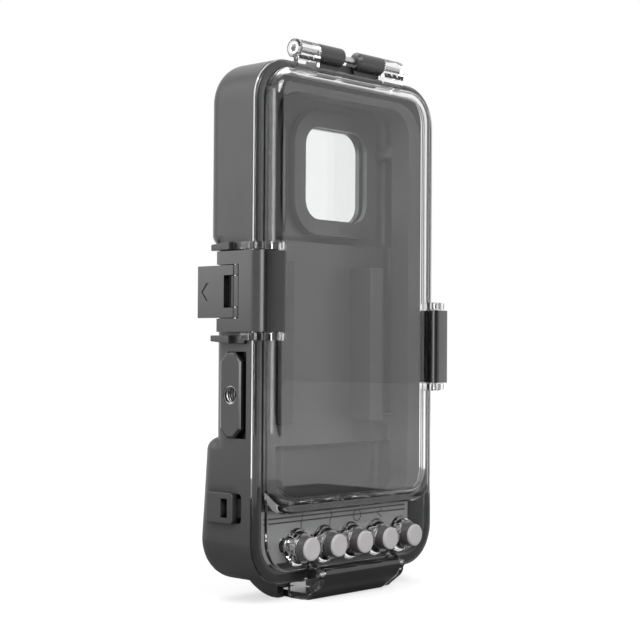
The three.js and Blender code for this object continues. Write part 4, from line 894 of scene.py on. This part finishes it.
def alongLatch(name, radius, middle, reach, x, y, steps, edge=0.0):
    return rod(name, "z", radius, middle - reach, middle + reach, x, y, steps, edge)


def makeLatch(side):
    latch, turn, ending = latchSides[side], latchTurns[side], side.capitalize()
    low, high, plane = latch["low"], latch["low"] + latch["length"], housing["latchPlane"]
    middle, span, room = (low + high) / 2, (high - low) / 2, leverRoom / 2
    pivot = housing["pivotX"], housing["pivotY"]
    leverPivot = plane - lever["pinIn"], lever["pinY"]

    body = prism(f"clamp{ending}", clampOutline(side), "z", low, high)
    body = cutFrom(body, [prism("cutOut", roundedRectangle(clamp["cutY"], clamp["cutHalf"], middle - room,
                                                           middle + room, clamp["cutCorner"], None, 4),
                                "x", plane - clamp["cutDepth"], plane + over)])
    tonguePlan = sidePlan(plane - clamp["thickness"], plane - clamp["tongueIn"], clamp["tongue"])
    tongueHalf = clamp["tongueLength"] / 2
    body = combined(body, [prism("tongue", tonguePlan, "z", middle - tongueHalf, middle + tongueHalf)])
    body = cutFrom(body, [
        alongLatch("pivot", housing["pivotBore"], middle, span + over, *pivot, 32),
        alongLatch("leverBore", lever["bore"], middle, room + lever["borePast"], *leverPivot, 24)])
    body = softened(body, clamp["edge"], 3, 35)
    placed(moved(body, turn), "latch", f"clamp_{side}", [f"clamp_{side}"])

    half, slotHalf = room - lever["gap"], tongueHalf + lever["gap"]
    inner, outer = lever["inner"], lever["inner"] + lever["thickness"]
    plate = prism(f"lever{ending}", sidePlan(inner, outer, lever["profile"]), "z", middle - half,
                  middle + half)
    foot, wide = lever["arrowY"], lever["arrowHalf"]
    knee, point = foot + lever["arrowStroke"], lever["arrowPoint"]
    arrow = [(foot, middle - wide), (knee, middle - wide), (knee + point, middle), (knee, middle + wide),
             (foot, middle + wide), (foot + point, middle)]
    plate = cutFrom(plate, [
        box("leverSlot", (inner - over, outer + over), (lever["profile"][0][1] - over, lever["slotRear"]),
            (middle - slotHalf, middle + slotHalf)),
        alongLatch("pinHole", lever["bore"], middle, half + over, *leverPivot, 24),
        prism("arrow", arrow, "x", outer - lever["arrowDepth"], outer + over)])
    plate = softened(plate, lever["softEdge"], 2, 35)
    placed(moved(plate, turn), "latch", f"lever_{side}", [f"lever_{side}"])

    clampPin = alongLatch(f"clampPin{ending}", clamp["pin"], middle, span + clamp["pinPast"], *pivot, 32,
                          clamp["pinEdge"])
    placed(moved(clampPin, turn), "steel", "front_cover", [f"clamp_pin_{side}"])
    leverPin = alongLatch(f"leverPin{ending}", lever["pin"], middle, room + lever["pinPast"], *leverPivot,
                          24, lever["pinEdge"])
    placed(moved(leverPin, turn), "steel", f"clamp_{side}", [f"lever_pin_{side}"])


for side in latchSides:
    makeLatch(side)
print("housing: latches made")

# push buttons; the profiles are (radius, y) points

button = {
    "barrel": [(0, -10.6), (4.3, -10.6), (4.5, -10.52), (4.6, -10.3), (4.6, -5.35), (4.5, -5.2),
               (3.6, -5.2), (3.5, -5.3), (3.5, -9.4), (1.3, -9.4), (1.3, 2.8), (1.0, 2.85), (1.0, 3.35),
               (1.3, 3.4), (1.3, 3.8), (1.1, 4.0), (0, 4.0)],
    "cap": [(0, -11.48), (2.2, -11.54), (3.6, -11.6), (4.1, -11.54), (4.3, -11.38), (4.38, -11.1),
            (4.38, -10.6), (0, -10.6)],
    "clip": [(1.2, 2.85), (2.3, 2.85), (2.4, 2.95), (2.4, 3.25), (2.3, 3.35), (1.2, 3.35)],
    "seal": 1.9, "sealY": 0.4, "sealHalf": 0.5, "sealHeight": 0.43, "roofY": -9.4,
    "spring": 2.4, "wire": 0.28, "turns": 4.0, "springFront": -9.0, "springRear": -3.6, "springSeat": -3.2,
    "travel": 1.8,
}
springTree = coilTree("springTree", 28, 10, (-math.pi / 2, 0, 0))


def makeButton(number, x):
    z, body, seat = housing["buttonZ"], f"button_{number}", button["springSeat"]
    placed(turned(f"barrel{number}", button["barrel"], x, z), "barrel", body, [f"button_barrel_{number}"])
    placed(turned(f"cap{number}", button["cap"], x, z), "cap", body, [f"button_cap_{number}"])
    placed(turned(f"clip{number}", button["clip"], x, z, 32), "steel", body, [f"button_clip_{number}"])
    ring = [(button["seal"] + button["sealHalf"] * a, button["sealY"] + button["sealHeight"] * b)
            for a, b in circlePoints(0, 0, 1, 14)]
    placed(turned(f"stemSeal{number}", ring, x, z, 40), "seal", body, [f"button_seal_{number}"])
    coil = grown(f"returnSpring{number}", springTree, "steel", {
        "Turns": button["turns"], "Radius": button["spring"] * mm, "Wire": button["wire"] * mm,
        "Length": (button["springRear"] - button["springFront"]) * mm,
        "Place": (x * mm, button["springFront"] * mm, z * mm)})
    placed(coil, "steel", "front_cover", [f"button_spring_{number}"], 60)
    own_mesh(coil)


for number, x in enumerate(buttonXs, 1):
    makeButton(number, x)
print("housing: buttons made")

# small printed signs, as (x, z) points from the line of a button and the level above it

signs = {"line": 0.4, "z": 31.0, "thickness": 0.05, "front": -8.0, "rear": -2.6,
         "strokes": {0: [(2.2, -2.6), (2.2, 0.2), (3.2, 3.0)],
                     1: [(3.2, -2.6), (3.2, -0.6), (4.4, 1.2), (3.2, 2.8)],
                     2: arcPoints(3.8, 0.1, 2.2, 0, 360, 28),
                     3: [(3.4, 1.6), (1.0, 0.0), (3.4, -1.6)]}}


def stroke(points):
    half, pieces = signs["line"] / 2, []
    for (x0, z0), (x1, z1) in zip(points, points[1:]):
        length = math.hypot(x1 - x0, z1 - z0)
        ux, uz = (x1 - x0) / length * half, (z1 - z0) / length * half
        outline = [(x0 - ux - uz, z0 - uz + ux), (x0 - ux + uz, z0 - uz - ux),
                   (x1 + ux + uz, z1 + uz - ux), (x1 + ux - uz, z1 + uz + ux)]
        pieces.append(prism("buttonSigns", outline, "y", signs["front"], signs["rear"]))
    return pieces


def makeSigns():
    pieces = []
    for number, points in signs["strokes"].items():
        pieces += stroke([(buttonXs[number] + x, signs["z"] + z) for x, z in points])
    marks = combined(pieces[0], pieces[1:])
    marks = combined(marks, [combined(*windowForms(signs["thickness"]))], "INTERSECT")
    marks = cutFrom(marks, [combined(*windowForms(0.0))])
    placed(marks, "ink", "front_cover")


makeSigns()

# controls and cells behind the deck

controls = {
    "panelFront": 5.0, "panelRear": 6.0, "panelHalf": 44.0, "panelLow": 14.9, "panelHigh": 35.3,
    "panelCorner": 3.0, "panelEdge": 0.12, "hole": 3.0, "lineHalf": 42.0, "lineRear": 5.7,
    "lineWidth": 0.6, "lineZs": [30.0, 31.8],
    "boardFront": 7.2, "boardRear": 8.4, "boardHalf": 38.0, "boardLow": 16.0, "boardHigh": 27.0,
    "boardEdge": 0.1,
    "keyFront": 6.6, "keyRear": 7.8, "keyHalf": 1.8, "keyEdge": 0.2, "dome": 1.08, "domeFront": 6.0,
    "padCount": 30, "padStart": Vector((-34.8, 7.17, 17.6)), "padStep": Vector((2.4, 0, 0)),
    "padSize": Vector((1.2, 0.2, 1.6)),
}
cells = {"radius": 5.25, "length": 44.5, "y": 18.4, "z": 26.1, "centre": 22.95, "edge": 0.5, "nub": 1.9,
         "nubOut": 0.8, "nubEdge": 0.15, "contact": 0.5, "contactHalf": 2.05, "contactEdge": 0.1,
         "inner": 46.8, "low": 20.55, "high": 31.65, "floor": 23.95, "trayWall": 0.8, "trayRear": 25.35,
         "corner": 3.5, "trayEdge": 2.6, "softEdge": 0.15}


def makeControls():
    z, front, rear = housing["buttonZ"], controls["panelFront"], controls["panelRear"]
    outline = roundedRectangle(0, controls["panelHalf"], controls["panelLow"], controls["panelHigh"],
                               controls["panelCorner"], None, 8)
    cuts = [rod("hole", "y", controls["hole"], front - over, rear + over, x, z) for x in buttonXs]
    cuts += [box("panelLine", (-controls["lineHalf"], controls["lineHalf"]),
                 (front - over, controls["lineRear"]), (level, level + controls["lineWidth"]))
             for level in controls["lineZs"]]
    plate = softened(cutFrom(prism("controlPanel", outline, "y", front, rear), cuts), controls["panelEdge"])
    placed(plate, "panel", "back_shell", ["control_panel"])

    board = box("controlBoard", (-controls["boardHalf"], controls["boardHalf"]),
                (controls["boardFront"], controls["boardRear"]),
                (controls["boardLow"], controls["boardHigh"]), controls["boardEdge"])
    half, keys = controls["keyHalf"], []
    for x in buttonXs:
        keys.append(box("keyBody", (x - half, x + half), (controls["keyFront"], controls["keyRear"]),
                        (z - half, z + half), controls["keyEdge"]))
        keys.append(rod("keyDome", "y", controls["dome"], controls["domeFront"], controls["boardFront"], x, z,
                        32))
    placed(combined(board, keys), "board", "back_shell", ["control_board"])

    pads = grown("boardContacts", ridgeRowTree(), "brass", {
        "Count": controls["padCount"], "Place": controls["padStart"] * mm, "Step": controls["padStep"] * mm,
        "Size": controls["padSize"] * mm})
    placed(pads, "brass", "back_shell")


def makeCells():
    y, z, half, wall = cells["y"], cells["z"], cells["contactHalf"], cells["trayWall"]
    for number, side, name in ((1, -1, "left"), (2, 1, "right")):
        centre = side * cells["centre"]
        end = centre + cells["length"] / 2
        cell = rod(f"cell{number}", "x", cells["radius"], end - cells["length"], end, y, z, 56, cells["edge"])
        nub = rod("nub", "x", cells["nub"], end - cells["nubOut"], end + cells["nubOut"], y, z, 32,
                  cells["nubEdge"])
        placed(combined(cell, [nub]), "cell", "back_shell", [f"battery_cell_{number}"])
        ends = sorted((side * cells["inner"], side * (cells["inner"] - cells["contact"])))
        strip = box(f"cellContact{number}", ends, (y - cells["radius"], y + cells["radius"]),
                    (z - half, z + half), cells["contactEdge"])
        placed(strip, "brass", "back_shell", [f"cell_contact_{name}"])
    inner, low, high, corner = cells["inner"], cells["low"], cells["high"], cells["corner"]
    tray = roundedBlock("batteryTray", inner + wall, low - wall, high + wall, corner, corner,
                        controls["boardRear"], cells["trayRear"], cells["trayEdge"])
    hollow = prism("trayHollow", roundedRectangle(0, inner, low, high, corner - wall), "y",
                   controls["boardRear"] - over, cells["floor"])
    placed(softened(cutFrom(tray, [hollow]), cells["softEdge"]), "panel", "back_shell", ["battery_tray"])


makeControls()
makeCells()

# camera bay

bay = {"half": 46.4, "inner": 39.2, "front": 0.8, "rear": 10.4, "low": 35.8, "high": 200.3,
       "rim": 3.4, "lowRim": 2.4, "lowCorner": 9.1, "highCorner": 14.56, "innerLowCorner": 6.6,
       "innerHighCorner": 11.0, "edge": 0.5}
pads = {"x": 27.05, "half": 4.0, "front": 7.5, "rear": 19.6, "low": 67.7, "high": 131.5, "edge": 0.6}


def makeBay():
    outside = roundedRectangle(0, bay["half"], bay["low"], bay["high"], bay["lowCorner"], bay["highCorner"])
    inside = roundedRectangle(0, bay["inner"], bay["low"] + bay["lowRim"], bay["high"] - bay["rim"],
                              bay["innerLowCorner"], bay["innerHighCorner"])
    cradle = prism("cradle", outside, "y", bay["front"], bay["rear"])
    cradle = cutFrom(cradle, [
        prism("bayOpening", inside, "y", bay["front"] - over, bay["rear"] + over),
        rod("tripodRoom", "x", tripod["room"], shell["wall"] - housing["half"], -tripod["roomIn"],
            tripod["y"], tripod["z"])])
    placed(softened(cradle, bay["edge"], 3), "pad", "back_shell", ["device_cradle"])
    for side, name in ((-1, "left"), (1, "right")):
        x, half = side * pads["x"], pads["half"]
        pad = box(f"restPad{name.capitalize()}", (x - half, x + half), (pads["front"], pads["rear"]),
                  (pads["low"], pads["high"]), pads["edge"])
        placed(pad, "pad", "back_shell", [f"rest_pad_{name}"])


makeBay()

# camera window in the back

def makePort():
    rear, size, offset, height = housing["upperDepth"], port["ring"], port["screwOffset"], port["screwHeight"]
    front, back = rear - port["paneDepth"], rear + port["ringDepth"]
    pane = prism("portPane", portOutline(port["pane"]), "y", front, rear, port["paneEdge"])
    placed(pane, "glass", "back_shell", ["port_pane"])
    gasket = prism("portGasket", portOutline(port["pane"]), "y", front - port["gasket"], front)
    hole = prism("gasketHole", portOutline(port["half"]), "y", front - port["gasket"] - over, front + over)
    placed(cutFrom(gasket, [hole]), "seal", "back_shell", ["port_gasket"])
    ring = roundedBlock("portRing", size, port["z"] - size, port["z"] + size, port["ringCorner"],
                        port["ringCorner"], rear, back, port["ringEdge"], centre=port["x"])
    cuts = [prism("ringHole", portOutline(port["half"]), "y", rear - over, back + over)]
    for x in (port["x"] - offset, port["x"] + offset):
        for z in (port["z"] - offset, port["z"] + offset):
            cuts.append(rod("sink", "y", port["sinkRadius"], back - height, back + over, x, z, 40))
    placed(softened(cutFrom(ring, cuts), port["softEdge"]), "latch", "back_shell", ["port_ring"])
    screws = grown("portScrews", screwSquareTree(), "steel", {
        "Spacing": 2 * offset * mm, "Head Radius": port["screwRadius"] * mm, "Head Height": height * mm,
        "Place": (port["x"] * mm, (back - height / 2) * mm, port["z"] * mm)})
    placed(screws, "steel", "back_shell", [f"port_screw_{i}" for i in range(1, 5)])


makePort()

# tripod plate and threaded insert

def makeTripod():
    y, z, inside = tripod["y"], tripod["z"], -housing["half"]
    outside = inside - tripod["out"]
    face, end = outside + tripod["lip"], outside + tripod["length"]
    rings = []
    for inset, x in ((0.0, inside), (0.0, outside + tripod["bevelDepth"]), (tripod["bevel"], outside)):
        rings.append([(x, y, z) for y, z in tripodOutline(inset)])
    plate = cutFrom(loft("tripodPlate", rings), [
        rod("plateHole", "x", tripod["hole"], face, outside + tripod["holeLength"], y, z, 64),
        rod("plateMouth", "x", tripod["mouth"], outside - over, outside + tripod["holeLength"], y, z, 64)])
    placed(softened(plate, tripod["softEdge"], 2, 25), "latch", "back_shell", ["tripod_plate"], 20)
    insert = rod("threadInsert", "x", tripod["insert"], face, end, y, z, 64, tripod["insertEdge"])
    insert = cutFrom(insert, [rod("threadBore", "x", tripod["bore"], outside - over, end + over, y, z, 64)])
    placed(softened(insert, tripod["insertEdge"]), "steel", "back_shell", ["thread_insert"])
    thread = grown("threadCrests", coilTree("threadTree", 40, 4, (0, math.pi / 2, 0)), "steel", {
        "Turns": tripod["threadTurns"], "Radius": (tripod["bore"] - tripod["crestSink"]) * mm,
        "Wire": tripod["crest"] * mm, "Length": tripod["threadLength"] * mm,
        "Place": ((face + tripod["threadStart"]) * mm, y * mm, z * mm)})
    placed(thread, "steel", "back_shell")


makeTripod()
print("housing: bay, window and tripod socket made")

# stage, lamps and cards in metres, and the camera with its place in millimetres

stage = {"floorHalf": 3.0, "floorTone": (0.5, 0.5, 0.5, 1), "nearLift": 0.6, "farLift": 1.0, "near": 0.25,
         "far": 1.1, "worldLight": 0.3, "tableHalf": 0.35, "tableZ": 2e-4}
white = (1, 1, 1, 1)
lamps = {  # place, aim, width and height, power
    "keyLamp": ((-0.45, -1.0, 0.9), (0, 0, 0.1), (0.7, 0.7), 14.5),
    "leftLamp": ((-0.95, 0.85, 0.72), (0, 0, 0.15), (0.9, 1.25), 5.7),
    "stripLamp": ((-1.1, -0.33, 0.3), (0, 0, 0.12), (0.42, 1.1), 6.0),
    "topLamp": ((0.1, 0.3, 1.2), (0, 0, 0.1), (0.8, 0.8), 6.0),
}
view = {"place": (-440.12, -390.65, 96.5), "yaw": 47.4, "pitch": 1.21, "roll": 0.377, "lens": 82.7}


def shownRays(tree):  # 1 for what is seen straight on, in reflections and through clear plastic
    path = tree.nodes.new("ShaderNodeLightPath").outputs
    seen = addNode(tree, "ShaderNodeMath", {0: path["Is Camera Ray"], 1: path["Is Glossy Ray"]},
                   operation="MAXIMUM")
    return addNode(tree, "ShaderNodeMath", {0: seen.outputs[0], 1: path["Is Transmission Ray"]},
                   operation="MAXIMUM").outputs[0]


def makeFloor():  # lifted towards white away from the object, and open from below
    side = stage["floorHalf"] / mm
    floor = meshObject("floor", [(-side, -side, 0), (side, -side, 0), (side, side, 0), (-side, side, 0)],
                       [[0, 1, 2, 3]])
    material = bpy.data.materials.new("floorPaper")
    material.use_nodes = True
    tree = material.node_tree
    tree.nodes.remove(tree.nodes["Principled BSDF"])
    place = tree.nodes.new("ShaderNodeTexCoord").outputs["Object"]
    away = addNode(tree, "ShaderNodeVectorMath", {0: place}, operation="LENGTH").outputs["Value"]
    lift = spread(tree, away, stage["near"], stage["far"], stage["nearLift"], stage["farLift"])
    shown = addNode(tree, "ShaderNodeMath", {0: shownRays(tree), 1: lift}, operation="MULTIPLY")
    plain = addNode(tree, "ShaderNodeBsdfDiffuse", {"Color": stage["floorTone"]})
    glow = addNode(tree, "ShaderNodeEmission", {"Color": white, "Strength": shown.outputs[0]})
    total = addNode(tree, "ShaderNodeAddShader", {0: plain.outputs["BSDF"], 1: glow.outputs["Emission"]})
    choose = addNode(tree, "ShaderNodeMixShader", {
        "Fac": tree.nodes.new("ShaderNodeNewGeometry").outputs["Backfacing"], 1: total.outputs["Shader"],
        2: tree.nodes.new("ShaderNodeBsdfTransparent").outputs["BSDF"]})
    tree.links.new(choose.outputs["Shader"], tree.nodes["Material Output"].inputs["Surface"])
    floor.data.materials.append(material)


def makeWorld():
    scene.world = bpy.data.worlds.new("studio")
    scene.world.use_nodes = True
    tree = scene.world.node_tree
    light = tree.nodes["Background"]
    light.inputs["Color"].default_value = white
    light.inputs["Strength"].default_value = stage["worldLight"]
    shown = addNode(tree, "ShaderNodeBackground", {"Color": white, "Strength": 1.0})
    choose = addNode(tree, "ShaderNodeMixShader", {
        "Fac": shownRays(tree), 1: light.outputs["Background"], 2: shown.outputs["Background"]})
    tree.links.new(choose.outputs["Shader"], tree.nodes["World Output"].inputs["Surface"])


def makeLamp(name, place, aim, size, power):
    data = bpy.data.lights.new(name, "AREA")
    data.shape = "RECTANGLE"
    data.size, data.size_y, data.energy = *size, power
    lamp = bpy.data.objects.new(name, data)
    lamp.location = place
    lamp.rotation_mode = "QUATERNION"
    lamp.rotation_quaternion = (Vector(aim) - Vector(place)).to_track_quat("-Z", "Y")
    scene.collection.objects.link(lamp)


def makeCard(name, tone, corners):  # a card that shows only in reflections
    card = meshObject(name, [Vector(corner) / mm for corner in corners], [[0, 1, 2, 3]])
    material = bpy.data.materials.new(name)
    material.use_nodes = True
    shader = material.node_tree.nodes["Principled BSDF"]
    shader.inputs["Base Color"].default_value = (tone, tone, tone, 1)
    shader.inputs["Roughness"].default_value = 1.0
    card.data.materials.append(material)
    card.visible_camera = card.visible_diffuse = card.visible_shadow = False


def makeCards():
    makeCard("frontCard", 0.01, [(-1.6, -1.1, 0.0), (0.3, -1.1, 0.0), (0.3, -1.1, 1.0), (-1.6, -1.1, 1.0)])
    half, z = stage["tableHalf"], stage["tableZ"]
    makeCard("tableCard", 0.2, [(-half, -half, z), (half, -half, z), (half, half, z), (-half, half, z)])


def makeCamera():
    yaw, pitch, roll = (math.radians(view[key]) for key in ("yaw", "pitch", "roll"))
    forward = Vector((math.sin(yaw) * math.cos(pitch), math.cos(yaw) * math.cos(pitch), math.sin(pitch)))
    right = Vector((math.cos(yaw), -math.sin(yaw), 0))
    up = right.cross(forward)
    turnedRight = right * math.cos(roll) + up * math.sin(roll)
    turnedUp = up * math.cos(roll) - right * math.sin(roll)
    data = bpy.data.cameras.new("camera")
    data.sensor_width, data.lens = 36.0, view["lens"]
    data.clip_start, data.clip_end = 0.01, 50.0
    camera = bpy.data.objects.new("camera", data)
    rows = Matrix((turnedRight, turnedUp, -forward)).transposed()
    camera.matrix_world = Matrix.Translation(Vector(view["place"]) * mm) @ rows.to_4x4()
    scene.collection.objects.link(camera)
    scene.camera = camera


makeFloor()
makeWorld()
for name, lamp in lamps.items():
    makeLamp(name, *lamp)
makeCards()
makeCamera()
print("housing: stage, light and camera made")
